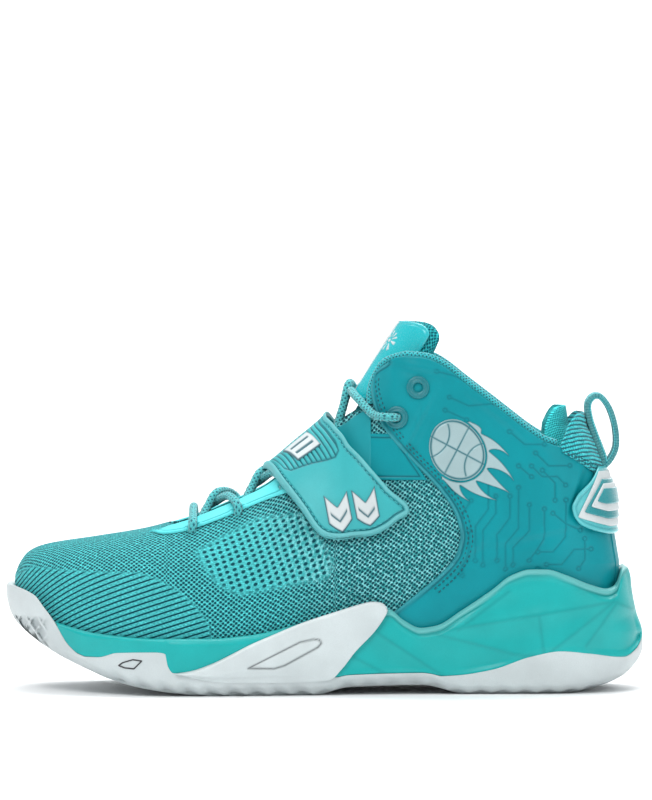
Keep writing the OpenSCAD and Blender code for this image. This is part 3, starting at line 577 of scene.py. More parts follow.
def ribbed(name, color, dark, pitch=2.1, across=1.5):
    """Woven webbing: rows of plump picks with dark gaps between them."""
    m = Mat(name, color, 0.8, Sheen_Weight=0.2, Specular_IOR_Level=0.25)
    rows = m.wave(m.place(), pitch, 0.2, direction="Y")
    picks = m.wave(m.place(), across, 0.3)
    fleck = m.noise(m.place(), 1.3, 3.0)
    weave = m.math("MULTIPLY", rows, m.span(picks, 0.0, 0.6, 0.35, 1.0))
    tone = m.blend(m.span(fleck, 0.3, 0.7), shade(color, 0.8), shade(color, 1.35))
    m.set("Base Color", m.blend(m.span(weave, 0.05, 0.5), dark, tone))
    m.set("Normal", m.bump(weave, 0.7, 0.6, m.bump(fleck, 0.3, 0.2)))
    return m.m


def corded(name, color, dark, pitch=2.2):
    """A braided cord."""
    m = Mat(name, color, 0.75, Sheen_Weight=0.3, Specular_IOR_Level=0.3)
    a = m.wave(m.place(38), pitch, 0.3)
    b = m.wave(m.place(-38), pitch, 0.3)
    plait = m.math("MAXIMUM", a, b)
    fleck = m.noise(m.place(), 1.6, 3.0)
    tone = m.blend(m.span(fleck, 0.3, 0.7), shade(color, 0.75), shade(color, 1.3))
    m.set("Base Color", m.blend(m.span(plait, 0.25, 0.7), dark, tone))
    m.set("Normal", m.bump(plait, 0.6, 0.35, m.bump(fleck, 0.3, 0.15)))
    return m.m


mats = {
    # the rubber's dark line colour serves only as painted shade in the toe cap's pockets
    "rubber": moulded("white_rubber", shade(WHITE, 0.9), 0.5, 0.1, (0.25, 0.29, 0.30)),
    # the foam's dark line colour is painted shade, in the groove under its upper band and along its creases
    "foam": moulded("teal_foam", TEAL_FOAM, 0.36, 0.1, shade(TEAL_FOAM, 0.45), Specular_IOR_Level=0.3),
    "plate": moulded("white_plate", shade(WHITE, 0.96), 0.4, 0.06, (0.05, 0.06, 0.065), Coat_Weight=0.1),
    "film": moulded("quarter_film", TEAL_FILM, 0.4, 0.12, (0.001, 0.10, 0.13), Specular_IOR_Level=0.16,
                    Coat_Weight=0.03, Coat_Roughness=0.25),
    "stay": moulded("overlay_film", TEAL_STAY, 0.42, 0.1, (0.001, 0.235, 0.275), Specular_IOR_Level=0.22),
    "strap": moulded("strap_film", TEAL_LIGHT, 0.45, 0.12, TEAL_DARK, Specular_IOR_Level=0.35),
    "badge": moulded("badge_white", (0.56, 0.61, 0.62), 0.5, 0.2, TEAL_DARK),
    "silver": moulded("silver_print", SILVER, 0.35, 0.25, (0.001, 0.12, 0.15), Metallic=0.15),
    "clip": moulded("clip_plastic", (0.08, 0.47, 0.50), 0.3, 0.06, TEAL_DEEP, Coat_Weight=0.3),
    "clip_dark": moulded("clip_teal", (0.012, 0.25, 0.28), 0.3, 0.06, TEAL_DARK, Coat_Weight=0.3),
    "ring": moulded("ring_rubber", (0.002, 0.17, 0.20), 0.35, 0.06, TEAL_DARK, Coat_Weight=0.1),
    "face": moulded("tongue_film", (0.01, 0.48, 0.53), 0.24, 0.08, WHITE, Coat_Weight=0.5,
                    Coat_Roughness=0.15),
    "aglet": moulded("clear_tip", (0.30, 0.62, 0.64), 0.2, 0.03, TEAL_DARK, Coat_Weight=0.5),
    "board": moulded("fibre_board", (0.6, 0.6, 0.55), 0.8, 0.4, TEAL_DARK),
    "black": moulded("fibre_plastic", (0.03, 0.03, 0.035), 0.4, 0.2, TEAL_DARK),
    "knit": knitted("upper_knit", TEAL_KNIT, (0.001, 0.055, 0.075), deep=0.7, zones=True),
    "mesh": knitted("lining_mesh", (0.03, 0.46, 0.49), TEAL_DARK, 1.6, 45, 0.5),
    "fine": knitted("fine_knit", (0.08, 0.92, 0.95), (0.004, 0.26, 0.30), 1.2, 20, 0.4),
    "binding": corded("binding_knit", (0.025, 0.40, 0.44), (0.001, 0.06, 0.085), 1.35),
    "lace": corded("lace_braid", (0.07, 0.44, 0.46), TEAL_DARK, 1.8),
    "web": ribbed("webbing", (0.03, 0.55, 0.59), TEAL_DARK),
    "loop": ribbed("loop_webbing", (0.14, 0.56, 0.58), TEAL_DEEP, 1.8, 1.3),
    "thread": moulded("thread", (0.002, 0.10, 0.13), 0.7, 0.2),
    "thread_light": moulded("light_thread", (0.05, 0.40, 0.43), 0.6, 0.2),
    "hook": knitted("touch_tape", (0.02, 0.26, 0.30), TEAL_DARK, 0.8, 10, 0.6),
}


# ---------------------------------------------------------------- camera, light and floor
def aim(obj, at):
    obj.rotation_euler = (Vector(at) - obj.location).to_track_quat("-Z", "Y").to_euler()


cam_data = bpy.data.cameras.new("camera")
cam = bpy.data.objects.new("camera", cam_data)
bpy.context.scene.collection.objects.link(cam)
cam_data.sensor_fit = "HORIZONTAL"
# how wide the picture is at the shoe, how far off the camera stands and how high it looks from
SENSOR, VIEW_M, CAM_M, CAM_DEG = 36, 0.3052, 3.2, 2.0
CAM_AT = Vector((0.0007, -0.012, 0.1360))
cam_data.sensor_width = SENSOR
cam_data.lens = SENSOR * CAM_M / VIEW_M
cam.location = CAM_AT + CAM_M * Vector((0, -np.cos(radians(CAM_DEG)), np.sin(radians(CAM_DEG))))
aim(cam, CAM_AT)
cam_data.clip_end = 20
bpy.context.scene.camera = cam

world = bpy.data.worlds.new("studio")
bpy.context.scene.world = world
world.use_nodes = True
world.node_tree.nodes["Background"].inputs[0].default_value = (0.97, 0.985, 1.0, 1)
world.node_tree.nodes["Background"].inputs[1].default_value = 0.46
# each lamp: its name, where it is, what it points at, its size, its power and its spread
SHOE_MID = (0, 0, 0.07)
LAMPS = [("key", (-0.28, -1.06, 1.15), SHOE_MID, 0.7, 11.8, 180),
         ("top", (0.1, 0.25, 1.3), SHOE_MID, 1.0, 8.0, 180),
         ("fill", (0.95, -0.75, 0.5), SHOE_MID, 0.9, 3.2, 180),
         ("rim", (0.3, 1.1, 0.7), SHOE_MID, 0.8, 4.0, 180),
         ("rear_wash", (0, 0.75, 1.7), (0, 2.2, 0.3), 1.6, 42.0, 180),
         ("side_wash", (-1.1, 0, 1.5), (-2.3, 0, 0.1), 1.6, 13.0, 80)]
for label, at, to, size, watts, spread in LAMPS:
    lamp = bpy.data.lights.new(label, "AREA")
    lamp.size, lamp.energy, lamp.spread = size, watts, radians(spread)
    holder = bpy.data.objects.new(label, lamp)
    holder.location = at
    bpy.context.scene.collection.objects.link(holder)
    aim(holder, to)

floor_mat = Mat("floor", (0.86, 0.87, 0.875), 0.7)
floor_tone = floor_mat.noise(floor_mat.place(own=False), 0.004)
floor_mat.set("Base Color", floor_mat.blend(floor_tone, (0.92, 0.925, 0.93), (0.94, 0.945, 0.95)))
# in metres: where the floor turns up and its radius there; in millimetres: how far it lies under the sole
SWEEP_FROM, SWEEP_R, FLOOR_DROP = 1.6, 0.6, 0.15


def sweep(q):
    """How high the floor is: flat, then a low quarter round."""
    return SWEEP_R - np.sqrt(np.maximum(SWEEP_R**2 - clamp(q - SWEEP_FROM, 0, SWEEP_R)**2, 0))


rise = SWEEP_FROM + SWEEP_R * np.sin(np.linspace(0, np.pi / 2, 28)[1:])
reach = np.concatenate([np.linspace(-3, SWEEP_FROM, 12), rise])
FX, FY = grid(-reach, reach)
floor_v = np.stack([FX, FY, np.maximum(sweep(-FX), sweep(FY))], -1).reshape(-1, 3) / MM - (0, 0, FLOOR_DROP)
n = len(reach)
floor_f = [[i * n + j, i * n + j + 1, (i + 1) * n + j + 1, (i + 1) * n + j]
           for i in range(n - 1) for j in range(n - 1)]
floor = make("floor", floor_v, floor_f, None, floor_mat.m, None)
bpy.context.scene.view_settings.view_transform = "Standard"


# ---------------------------------------------------------------- sole
RING_N = 420


def between(f, lo, hi):
    """Where f changes sign."""
    for _ in range(40):
        m = (lo + hi) / 2
        lo, hi = (lo, m) if f(lo) * f(m) <= 0 else (m, hi)
    return (lo + hi) / 2


def ring_of(x0, x1, f):
    """A closed ring through f(x, side), from x0 to x1 and back."""
    t = (1 - np.cos(np.pi * np.arange(RING_N + 1) / RING_N)) / 2
    x = mix(x0, x1, t)
    return np.concatenate([f(x, -1), f(x, 1)[-2:0:-1]])


def sole_ring(up, e, detail=None):
    """A ring on the sole's side at height up(x), pulled out by e, with detail(x, z) added."""
    x0 = between(lambda x: x - curve(SOLE_TOE, up(x)) + e, -156, -120)
    x1 = between(lambda x: x - curve(SOLE_HEEL, up(x)) - e, 120, 156)

    def side(x, s):
        z = up(x)
        more = detail(x, z) * smooth(x, x0, x0 + 3) * (1 - smooth(x, x1 - 3, x1)) if detail else 0.0
        return sole_skin(x, z, s, e + more)

    return ring_of(x0, x1, side)


def body_ring(up, d):
    """A ring on the body at height up(x), stood off by d(x)."""
    return ring_of(TOE_X - d(TOE_X), HEEL_X + d(HEEL_X), lambda x, s: skin(x, up(x), s, d(x)))


def shrunk(ring, k, lift=None):
    """The ring pulled in to its centre line by k."""
    out = ring.copy()
    mid = curve(CENTRE, ring[:, 0])
    out[:, 1] = mid + (ring[:, 1] - mid) * k
    if lift is not None:
        out[:, 2] += lift(out[:, 0], out[:, 1], k)
    return out


def stacked(name, rings, mat, slot, stands):
    return loops(np.stack(rings), name, "shoe", mat, slot, stands, caps=False, weld=0.02)


def paint(obj, key, values):
    """Gives each point of a finished piece a value that its material reads."""
    obj.data.attributes.new(key, "FLOAT", "POINT").data.foreach_set("value", values.astype(np.float32))


def points_of(obj):
    return np.array([v.co for v in obj.data.vertices]) / MM


def ground(x):
    """The sole's underside."""
    return curve(GROUND, x)


def lip(x):
    """The white sole's upper edge."""
    return np.maximum(curve(LIP, x), ground(x) + OUTSOLE_T + 1.5)


def cuff(x):
    """The foam's upper edge."""
    return curve(CUFF, x)


def tread(x, y, k):
    """Herringbone grooves in the sole's underside."""
    zig = saw((x + 8.8 * np.abs(y / 9 % 2 - 1)) / 5.5)
    groove = smooth(zig, 0.45, 0.7) * 1.3
    return groove * smooth(1 - k, 0.03, 0.1)


def toe_pocket(x, z):
    """1 inside the triangular pockets of the toe cap, 0 on the bars between them."""
    p, q = (x * 0.75 + z * 0.5) / 4.6, (x * 0.75 - z * 0.5) / 4.6
    cell = np.maximum(np.abs(p % 1 - 0.5), np.abs(q % 1 - 0.5))
    toe = (1 - smooth(x, -133, -127)) * smooth(z, 20, 22) * (1 - smooth(z, 33, 36))
    return toe * (1 - smooth(cell, 0.34, 0.44))


def tooth(x):
    """A row of small teeth along the sole, from 0 to 1."""
    return np.abs((x / 5.2) % 2 - 1) * smooth(x, -108, -95) * (1 - smooth(x, 122, 132))


def sole_wall(x, z):
    """Pockets in the toe cap, and small facets over the tread's edge."""
    low = z - ground(x)
    facet = -2.2 * np.abs((x / 5.2 + low * 0.12) % 2 - 1) * (1 - smooth(low, 2.0, 6.5)) * smooth(x, -108, -95)
    facet = facet * (1 - 0.6 * smooth(x, -8, 0)) * (1 - 0.35 * smooth(x, 50, 60)) * (1 - smooth(x, 122, 132))
    return facet - 1.3 * toe_pocket(x, z)


down = [shrunk(sole_ring(ground, -7.0), k, tread) for k in np.linspace(0, 1, 34)]
corner = [sole_ring(lambda x, h=h: ground(x) + h + 1.5 * tooth(x) * (1 - h / 4), e, sole_wall) for h, e in
          ((0.3, -5.0), (0.8, -3.4), (1.6, -2.1), (2.6, -1.1), (3.4, -0.6), (4.0, -0.35))]
wall = [sole_ring(lambda x, k=k: mix(ground(x) + 4, lip(x), k), -0.3 * (1 - k)**2, sole_wall)
        for k in np.linspace(0.06, 0.97, 26)]
edge = [sole_ring(lambda x, h=h: lip(x) - h, e)
        for e, h in ((-0.12, 0), (-0.5, 0), (-1.3, 0.05), (-2.6, 0.2), (-3.9, 0.5))]
inner = [sole_ring(lambda x: mix(ground(x) + OUTSOLE_T, lip(x), 0.5), -1.7),
         sole_ring(lambda x: ground(x) + OUTSOLE_T, -3.2)]
tray = [shrunk(inner[-1], k) for k in (0.75, 0.5, 0.25, 0.0)]
outsole = stacked("outsole_cup", down + corner + wall + edge + inner + tray, mats["rubber"], "white_rubber",
                  ["outsole"])
co = points_of(outsole)
# painted shade: the toe cap's pockets are painted darker
paint(outsole, "line", 0.55 * toe_pocket(co[:, 0], co[:, 2]))

# raised creases of the heel's foam, in side view: ends, height and reach
CREASES = [((49.4, 28.8), (135, 42.8), 1.5, 5), ((49.4, 28.8), (92, 18), 1.1, 5), ((92, 18),
           (102.3, 17.6), 0.7, 4), ((99.9, 35.8), (102.3, 17.6), 0.9, 4), ((134.6, 42.4), (102.3, 17.6),
           1.5, 6), ((136, 41.4), (121.9, 22.7), 0.9, 4), ((22.2, 30.7), (58.7, 6.3), 1.3, 6),
           ((135, 42.8), (144.5, 38), 1.0, 4), ((134.8, 42.4), (137.5, 56), 0.9, 4), ((6, 22), (30, 9),
           0.8, 5), ((62, 30), (86, 48), 0.6, 5)]


def crease_gap(x, z, a, b):
    """How far a point is from the crease between a and b."""
    dx, dz = b[0] - a[0], b[1] - a[1]
    t = clamp(((x - a[0]) * dx + (z - a[1]) * dz) / (dx * dx + dz * dz))
    return np.hypot(x - a[0] - t * dx, z - a[1] - t * dz)


def creases(x, z):
    h = sum(1.45 * high * np.exp(-crease_gap(x, z, a, b) / reach) for a, b, high, reach in CREASES)
    return 3.2 * np.tanh(h / 3.2) - 1.8


def foam_wall(x, z):
    """Creases behind the instep, and a rolled band along the upper edge."""
    top = cuff(x) - z
    rear = smooth(x, 8, 26)
    body = creases(x, z) * rear * smooth(top, 2.2, 5.5) * smooth(z - lip(x), 0.2, 3)
    band = (0.55 * bell(top, 1.3, 1.1) - 0.75 * bell(top, 3.1, 0.7)) * rear
    return body + band


# how far the foam is drawn in where the white sole covers it
COVERED = -3.1


def foam_ring(k):
    above = lambda x: np.minimum(lip(x) + 0.3, cuff(x) - 0.6)
    out = -0.8 * smooth(k, 0.8, 1.0) - 1.2 * smooth(k, 0.93, 1.0)
    up = lambda x: mix(above(x), cuff(x), k)
    hid = lambda x: clamp((lip(x) + 1.5 - cuff(x)) / 1.5)
    x0 = between(lambda x: x - curve(SOLE_TOE, up(x)) + COVERED, -156, -120)
    x1 = between(lambda x: x - curve(SOLE_HEEL, up(x)) - out, 120, 156)
    return ring_of(x0, x1, lambda x, s: sole_skin(
        x, up(x), s, mix(out + foam_wall(x, up(x)) * (1 - smooth(x, x1 - 2.5, x1)), COVERED, hid(x))))


def well(x):
    """How far the foam's inner wall stands off the body."""
    return np.where(np.asarray(x) < 20, 0.6, 1.75)


def foam_floor(x):
    return ground(x) + OUTSOLE_T + 0.3


foam = [shrunk(sole_ring(foam_floor, -4.4), k) for k in (0, 0.3, 0.6, 0.85, 1.0)]
foam += [sole_ring(lambda x: mix(foam_floor(x), np.minimum(lip(x), cuff(x) - 0.6), 0.5), COVERED)]
foam += [foam_ring(k) for k in np.concatenate([np.linspace(0, 0.9, 40), [0.93, 0.955, 0.975, 0.99, 1.0]])]
foam += [body_ring(cuff, well), body_ring(lambda x: mix(cuff(x), curve(BED, x), 0.5), well)]
bed = body_ring(lambda x: curve(BED, x), well)
foam += [bed] + [shrunk(bed, k) for k in (0.7, 0.35, 0.0)]
midsole = stacked("midsole_foam", foam, mats["foam"], "teal_foam", ["midsole"])
co = points_of(midsole)
gap_top = cuff(co[:, 0]) - co[:, 2]
# painted highlight: the rolled band along the foam's upper edge, behind the instep, is painted paler
pale = 0.5 * smooth(co[:, 0], 12, 26) * (1 - smooth(gap_top, 2.2, 2.9)) * (gap_top > -0.5)
# painted shade: the groove under that band, and a line along each crease, are painted dark
groove = smooth(co[:, 0], 12, 26) * bell(gap_top, 3.1, 0.45) * 0.55
for a, b, high, reach in CREASES:
    groove = np.maximum(groove, 0.3 * bell(crease_gap(co[:, 0], co[:, 2], a, b), 0, 0.8))
paint(midsole, "pale", pale)
paint(midsole, "line", groove)

# the moulded plate that sweeps up each side, with a drawn panel in it
PLATE_TOP = [[-69, 10.9], [-62, 12], [-52, 15.4], [-44, 19.2], [-34.5, 24], [-23, 28.9], [-11.5, 33.6],
             [7.3, 39.7], [17, 42.6], [22, 43.6], [26, 43.2], [28.6, 41.4], [29.4, 39.6]]
PLATE_LOW = [[-69, 10.4], [-60, 8.4], [-54, 7.2], [-44, 6.4], [-20, 6.2], [-4, 6.6], [2.6, 7.4],
             [8, 12.4], [14.3, 20.4], [23.6, 30.2], [28.6, 37.6], [29.4, 39.4]]
PANEL = [[-35.2, 13.2], [-23.2, 12.9], [-18.5, 14.3], [-3, 22.7], [-1.4, 24.6], [-2.4, 26.2], [-5, 26.4],
         [-11.5, 25], [-35.2, 13.2]]
EYE = [[-95.4, 14.2], [-93.5, 15.6], [-88.7, 17.1], [-84.5, 16.6], [-88.2, 12.9], [-92.5, 13.2],
       [-95.4, 14.2]]


def plate_detail(P, D, U, V):
    d = near(P, dense(PANEL, 0.2), True)
    cut = bell(d, 0, 0.42)
    inner_field = inside(P, PANEL, 0.5)
    ridge = 0.5 * np.exp(-np.abs(P[..., 2] - 9.5 + 0.0012 * (P[..., 0] + 22)**2) / 1.6)
    swell = 0.5 * np.sin(np.pi * clamp(V))
    melt = 1.6 * (1 - smooth(V, 0.02, 0.4)) * (1 - smooth(P[..., 0], -6, 8))
    return swell - 0.5 * cut + 0.15 * inner_field + ridge * 0.4 - melt, {"line": cut * 0.9}


for side, label in SIDES:
    def wing_face(u, v, d, s=side):
        x = mix(PLATE_LOW[0][0], PLATE_LOW[-1][0], u)
        return sole_skin(x, mix(curve(PLATE_LOW, x), curve(PLATE_TOP, x), v), s, d)

    film(f"side_wing_{label}", wing_face, steps(150), steps(46), 0.15, 1.7, "shoe", mats["plate"],
         "white_plastic", [f"side_plate_{label}"], r=1.5, edges="nse", detail=plate_detail)
    eye_line = even(dense(EYE, 0.3), 0.3)
    ring_pts = sole_skin(eye_line[:, 0], eye_line[:, 2], side, 0.05)
    loops(braid(ring_pts, 0.32, 8, depth=0.0), f"toe_eye_{label}", "shoe", mats["black"], "black_plastic")

# ---------------------------------------------------------------- the knit forefoot
THROAT_X, THROAT_TURN, KNIT_END, RIB_PITCH = -74, 0.2, 74, 2.45
KNIT_TOP = [[5, 124], [12, 129], [24, 134], [34, 129], [45, 113], [58, 95], [75, 68]]
RIBS = [[-146, 50], [-144.9, 53.1], [-136.7, 58], [-126.2, 57.2], [-105, 56.6], [-86.4, 56.6],
        [-77, 53.7], [-66.5, 47.8], [-59.5, 41.4], [-53.6, 33.2], [-52, 24], [-110, 22], [-128, 24],
        [-146, 34]]
OPEN_WORK = [[-60, 66], [-50, 72], [-30, 82], [-8, 84], [4, 62], [2, 54], [-20, 50], [-39, 46.5],
             [-49, 50.7], [-55, 57.8]]


def knit_edge(x):
    """The turn at which the knit ends: by the throat, or under the quarter."""
    opened = THROAT_TURN * np.sqrt(clamp((x - THROAT_X) / 7))
    return np.where(x < 5, opened, turn_at(x, curve(KNIT_TOP, x)))


def knit_half(x, side, d, t):
    """One side of a row over the knit: t runs from inside the sole's edge up to the throat."""
    low = np.minimum(curve(CUFF, x) - 4, curve(LEVEL, x) - 0.5)
    k = 0.08
    wall_z = mix(low, curve(LEVEL, x), clamp(t / k))
    a = mix(1, knit_edge(x), clamp((t - k) / (1 - k)))
    return np.where((t < k)[..., None], skin(x, wall_z, side, d), arch(x, a, side, d))


toe_t = np.arange(120) / 120
knit_x = np.concatenate([TOE_X + 0.001 + (THROAT_X - TOE_X) * toe_t**1.6,
                         np.linspace(THROAT_X, KNIT_END, 180)])
knit_t = np.concatenate([[0, 0.03, 0.06], np.linspace(0.08, 1, 150)])
X, T = grid(knit_x, knit_t)


def knit_face(d):
    return np.concatenate([knit_half(X, -1, d, T), knit_half(X, 1, d, T)[:, ::-1]], 1)


P = knit_face(0.0)
rib_field = inside(P, RIBS, 1.2)
rise_at = P[..., 2] - (0.3 * P[..., 0] - 21.06 * np.exp(-(P[..., 0] + 144.8) / 17.55))
rib_wave = saw(rise_at / RIB_PITCH)
open_work = inside(P, OPEN_WORK, 2.5)
bulge = 0.42 * (np.sqrt(clamp(1 - rib_wave**4)) - 0.6) * rib_field
flex_zone = smooth(P[..., 0], -85, -60) * (1 - smooth(P[..., 0], -30, -10)) * smooth(P[..., 2], 40, 55)
flex = 0.175 * np.sin(P[..., 0] / 5.5 + P[..., 2] / 9) * flex_zone
# where each stitch lies: along the shoe, and down from the crest
MID_ROW = 40
forward = run(P[:, MID_ROW])
gap_arc = np.array([run(arch(x, np.linspace(0, a, 20), 1, 0))[-1] for x, a in zip(knit_x, knit_edge(knit_x))])
half_n = len(knit_t)
down_run = np.cumsum(np.linalg.norm(np.diff(P[:, half_n - 1::-1], axis=1), axis=-1), 1)[:, ::-1]
down_run = np.concatenate([down_run, np.zeros((len(knit_x), 1))], 1) + gap_arc[:, None]
longer = down_run[:, :1] - np.interp(-112, knit_x, down_run[:, 0])
down_run = down_run - 0.5 * smooth(knit_x, -112, -60)[:, None] * longer
level = 0.3 * P[:, :half_n, 0] - P[:, :half_n, 2]
level = level + (down_run - level)[np.argmin(np.abs(knit_x + 12)), 70]
down_run = mix(down_run, level, smooth(P[:, :half_n, 0], -38, 4))
lay = np.concatenate([down_run, -down_run[:, ::-1]], 1)
stitch_at = np.stack([np.broadcast_to(forward[:, None], lay.shape), lay, 0 * lay], -1)
normal = unit(np.cross(np.gradient(P, axis=0), np.gradient(P, axis=1)))
normal *= np.sign(np.sum(normal * (P - point(P[..., 0], curve(CENTRE, P[..., 0]), 35)), -1))[..., None]
knit_out = P + normal * (bulge + flex)[..., None]
closed = np.ones((len(knit_x) - 1, 2 * len(knit_t) - 1), bool)
closed[knit_x[:-1] >= THROAT_X - 1e-6, len(knit_t) - 1] = False
shell("knit_upper", knit_out, knit_face(-KNIT_T), "shoe", mats["knit"], "teal_knit",
      ["vamp_toe", "vamp_side_lateral", "vamp_side_medial"], on=closed, weld=0.015,
      attrs={"rise": rise_at / RIB_PITCH, "zone": open_work, "band": rib_field, "mm": stitch_at,
             "melange": smooth(P[..., 0] + 0.5 * P[..., 2], -10, 45)})


# ---------------------------------------------------------------- quarters
FRONT = [[0, 30], [0.3, 62], [0.36, 64], [0.42, 62.5], [0.9, 22], [0.95, 24], [1, 31]]
FRONT_Z = [[0, 19.1], [0.3, 66], [0.36, 74], [0.42, 82], [0.8, 128], [0.9, 142], [0.95, 148.6], [1, 153]]
TOPLINE = [[31, 153], [36, 155.5], [42, 156.4], [53, 155.8], [62.6, 152.4], [76.4, 143.2], [90.7, 133.3],
           [103.4, 124], [113, 117], [122, 114.6], [130, 114.6], [138, 115]]
SEAM_X = HEEL_X - 0.02
QUARTER_D = 0.2 + OVERLAY_T


def quarter_at(u, v):
    """The quarter in side view: u from its front to the back seam, v from the sole to the topline."""
    low = lambda x: curve(CUFF, x) - 3.5
    xb, xt = mix(30, SEAM_X, u), mix(31, SEAM_X, u)
    bottom = point(xb, 0, low(xb))
    top = point(xt, 0, curve(TOPLINE, xt))
    front = point(curve(FRONT, v), 0, np.where(v < 0.3, mix(low(30.0), 66, v / 0.3), curve(FRONT_Z, v)))
    back = point(SEAM_X + 0 * v, 0, mix(low(SEAM_X), curve(TOPLINE, SEAM_X), v))
    p00, p10 = point(30, 0, low(30.0)), point(SEAM_X, 0, low(SEAM_X))
    p01, p11 = point(31, 0, curve(TOPLINE, 31)), point(SEAM_X, 0, curve(TOPLINE, SEAM_X))
    U, V = u[..., None], v[..., None]
    return mix(bottom, top, V) + mix(front, back, U) - mix(mix(p00, p10, U), mix(p01, p11, U), V)


def quarter_face(side):
    def f(u, v, d):
        p = quarter_at(1 - (1 - u)**1.6, v)
        p[..., 2] += 0.9 * smooth(v, 0.9, 1.0) * (1 - smooth(u, 0.0, 0.3))
        grow = (SEAM_X + d - 31) / (SEAM_X - 31)
        x = np.where(p[..., 0] > 31, 31 + (p[..., 0] - 31) * grow, p[..., 0])
        return skin(x, p[..., 2], side, d)
    return f


# engraved lines on the quarter, in side view: runs with a turn or two, each ending in a small ring
TRACES = [[(70, 62), (70, 78), (76, 86), (76, 99)], [(73.5, 60), (73.5, 76), (79.5, 84), (79.5, 92)],
          [(84, 58), (84, 70), (90, 77), (90, 96)], [(87.5, 60), (87.5, 68), (95, 76), (95, 88)],
          [(99, 66), (106, 66), (112, 73), (112, 90)], [(103, 60), (110, 60), (116, 67), (124, 67)],
          [(98, 112), (104, 106), (114, 106)], [(96, 106), (101, 101), (108, 101), (112, 97)],
          [(58, 138), (67, 134), (79, 135)], [(52, 150), (60, 148), (70, 143)],
          [(86, 122), (93, 116), (102, 116)], [(60, 62), (64, 68), (64, 84), (68, 90)],
          [(119, 76), (112, 79), (106, 84)], [(56, 132), (66, 127.5)],
          [(64, 55), (64, 60), (67, 66), (67, 76)], [(80, 62), (80, 74), (86, 82), (86, 92)],
          [(95, 62), (102, 72), (102, 86)], [(107, 90), (107, 98), (101, 104)], [(90, 106), (96, 101)],
          [(118, 58), (121, 62), (121, 72)], [(99, 58), (106, 55)]]
# soft folds: centre, half length, tilt in degrees, depth
FOLDS = [((40, 118), 22, 62, 0.7), ((47, 150), 14, -12, 0.45), ((80, 128), 20, -38, 0.5), ((118, 96), 15,
         70, 0.5), ((62, 60), 16, 40, 0.4), ((103, 74), 22, 12, 0.35), ((55, 95), 16, 55, 0.35)]


RING_R = 0.9


def quarter_detail(P, D, U, V):
    d = near(P, np.vstack([dense(t) for t in TRACES]), True)
    to_end = near(P, np.array([(x, 0, z) for t in TRACES for x, z in (t[0], t[-1])], float), True)
    cut = np.maximum(bell(d, 0, 0.42) * (to_end > RING_R), bell(to_end, RING_R, 0.4))
    fade = 0.9 + 0.1 * smooth(P[..., 2], 60, 100)
    fold = np.zeros(P.shape[:-1])
    for (cx, cz), reach, tilt, deep in FOLDS:
        a = radians(tilt)
        dx, dz = P[..., 0] - cx, P[..., 2] - cz
        along, off = dx * np.cos(a) + dz * np.sin(a), dz * np.cos(a) - dx * np.sin(a)
        fold += deep * bell(along, 0, reach) * (bell(off, 1.6, 1.8) - bell(off, -1.6, 2.2))
    front = near(P, rim(P, "n"))
    welt = -0.5 * bell(front, 1.9, 0.4) + 0.25 * (1 - smooth(front, 1.0, 1.9))
    low = 1 - smooth(P[..., 2] - curve(CUFF, P[..., 0]), 0.0, 3.0)
    # painted shade: the groove inside the welt along the front edge is painted dark; painted highlight: the
    # raised strip along that edge is painted paler
    line = np.maximum(cut * 0.55 * fade, bell(front, 1.9, 0.4) * 0.9)
    return fold - 0.25 * cut + welt - 0.2 * low, {"line": line, "pale": (1 - smooth(front, 1.0, 1.9)) * 0.15}


for side, label in SIDES:
    face = quarter_face(side)
    film(f"quarter_{label}_shell", face, steps(200), steps(220), 0.2, QUARTER_D, "shoe", mats["film"],
         "quarter_shell", [f"quarter_{label}"], r=0.9, edges="nwe", detail=quarter_detail)
    v = np.linspace(0.14, 0.93, 420)
    front = face(0 * v, v, QUARTER_D)
    tangent = unit(np.gradient(front, axis=0))
    back = face(0 * v + 0.02, v, QUARTER_D) - front
    back = np.linalg.norm(back - np.sum(back * tangent, -1, keepdims=True) * tangent, axis=-1)
    rows = [even(face(0.02 * inset / np.maximum(back, 0.3), v, QUARTER_D + 0.05), 0.4)
            for inset in (3.3, 5.3)]
    ups = [np.tile([[0, side, 0.15]], (len(row), 1)) for row in rows]
    stitches(f"quarter_{label}_stitching", rows, ups, "shoe", mats["thread"], "quarter_shell", 1.5, 0.9, 0.3)


# the tape over the back seam
def back_tape(u, v, d):
    low = curve(CUFF, HEEL_X) - 3
    return wrap(v, HEEL_X - 0.75, d, lambda x, side, s: skin(x, mix(low, 116, u), side, d))


film("back_seam_tape", back_tape, steps(120), steps(40), QUARTER_D - 0.25, QUARTER_D + 0.3, "shoe",
     mats["film"], "quarter_shell", r=0.5,
     detail=lambda P, D, U, V: (0 * D, {"line": 0.7 * bell(D, 1.2, 0.3)}))

# ---------------------------------------------------------------- collar
def collar_top(x):
    return curve(TOPLINE, clamp(x, 31, 138))


def collar_wall(t, v):
    """The padded collar: v runs up its outside, over the roll at the top, and down inside to the foot bed."""
    sunk, fat, thick, outer_v, roll_v = 1.9, 2.9, 5.9, 0.16, 0.32
    s = np.abs(2 * t - 1)
    x = heel_x_at(heel_turn(41) * s, np.where(v < outer_v, -sunk, -5.5) * (1 - s**3))
    top, low = collar_top(x) - 0.6 - fat, curve(BED, x) + 9
    a = clamp((v - outer_v) / (roll_v - outer_v)) * np.pi
    bulge = 1.5 * np.sin(np.pi * clamp((v - roll_v) / 0.3)) * smooth(x, 45, 60)
    inner_z = mix(top, low, clamp((v - roll_v) / (1 - roll_v)))
    z = np.where(v < roll_v, top + fat * np.sin(a), inner_z)
    z = np.where(v < outer_v, mix(top - 9, top, v / outer_v), z)
    d = np.where(v < roll_v, -sunk - fat * (1 - np.cos(a)) / 2 * 1.55, -sunk - fat * 1.55 - bulge)
    d = np.where(v > 0.62, mix(d, -thick, smooth(v, 0.62, 0.8)), np.where(v < outer_v, -sunk, d))
    return skin(x, z, np.where(t < 0.5, -1, 1), d)


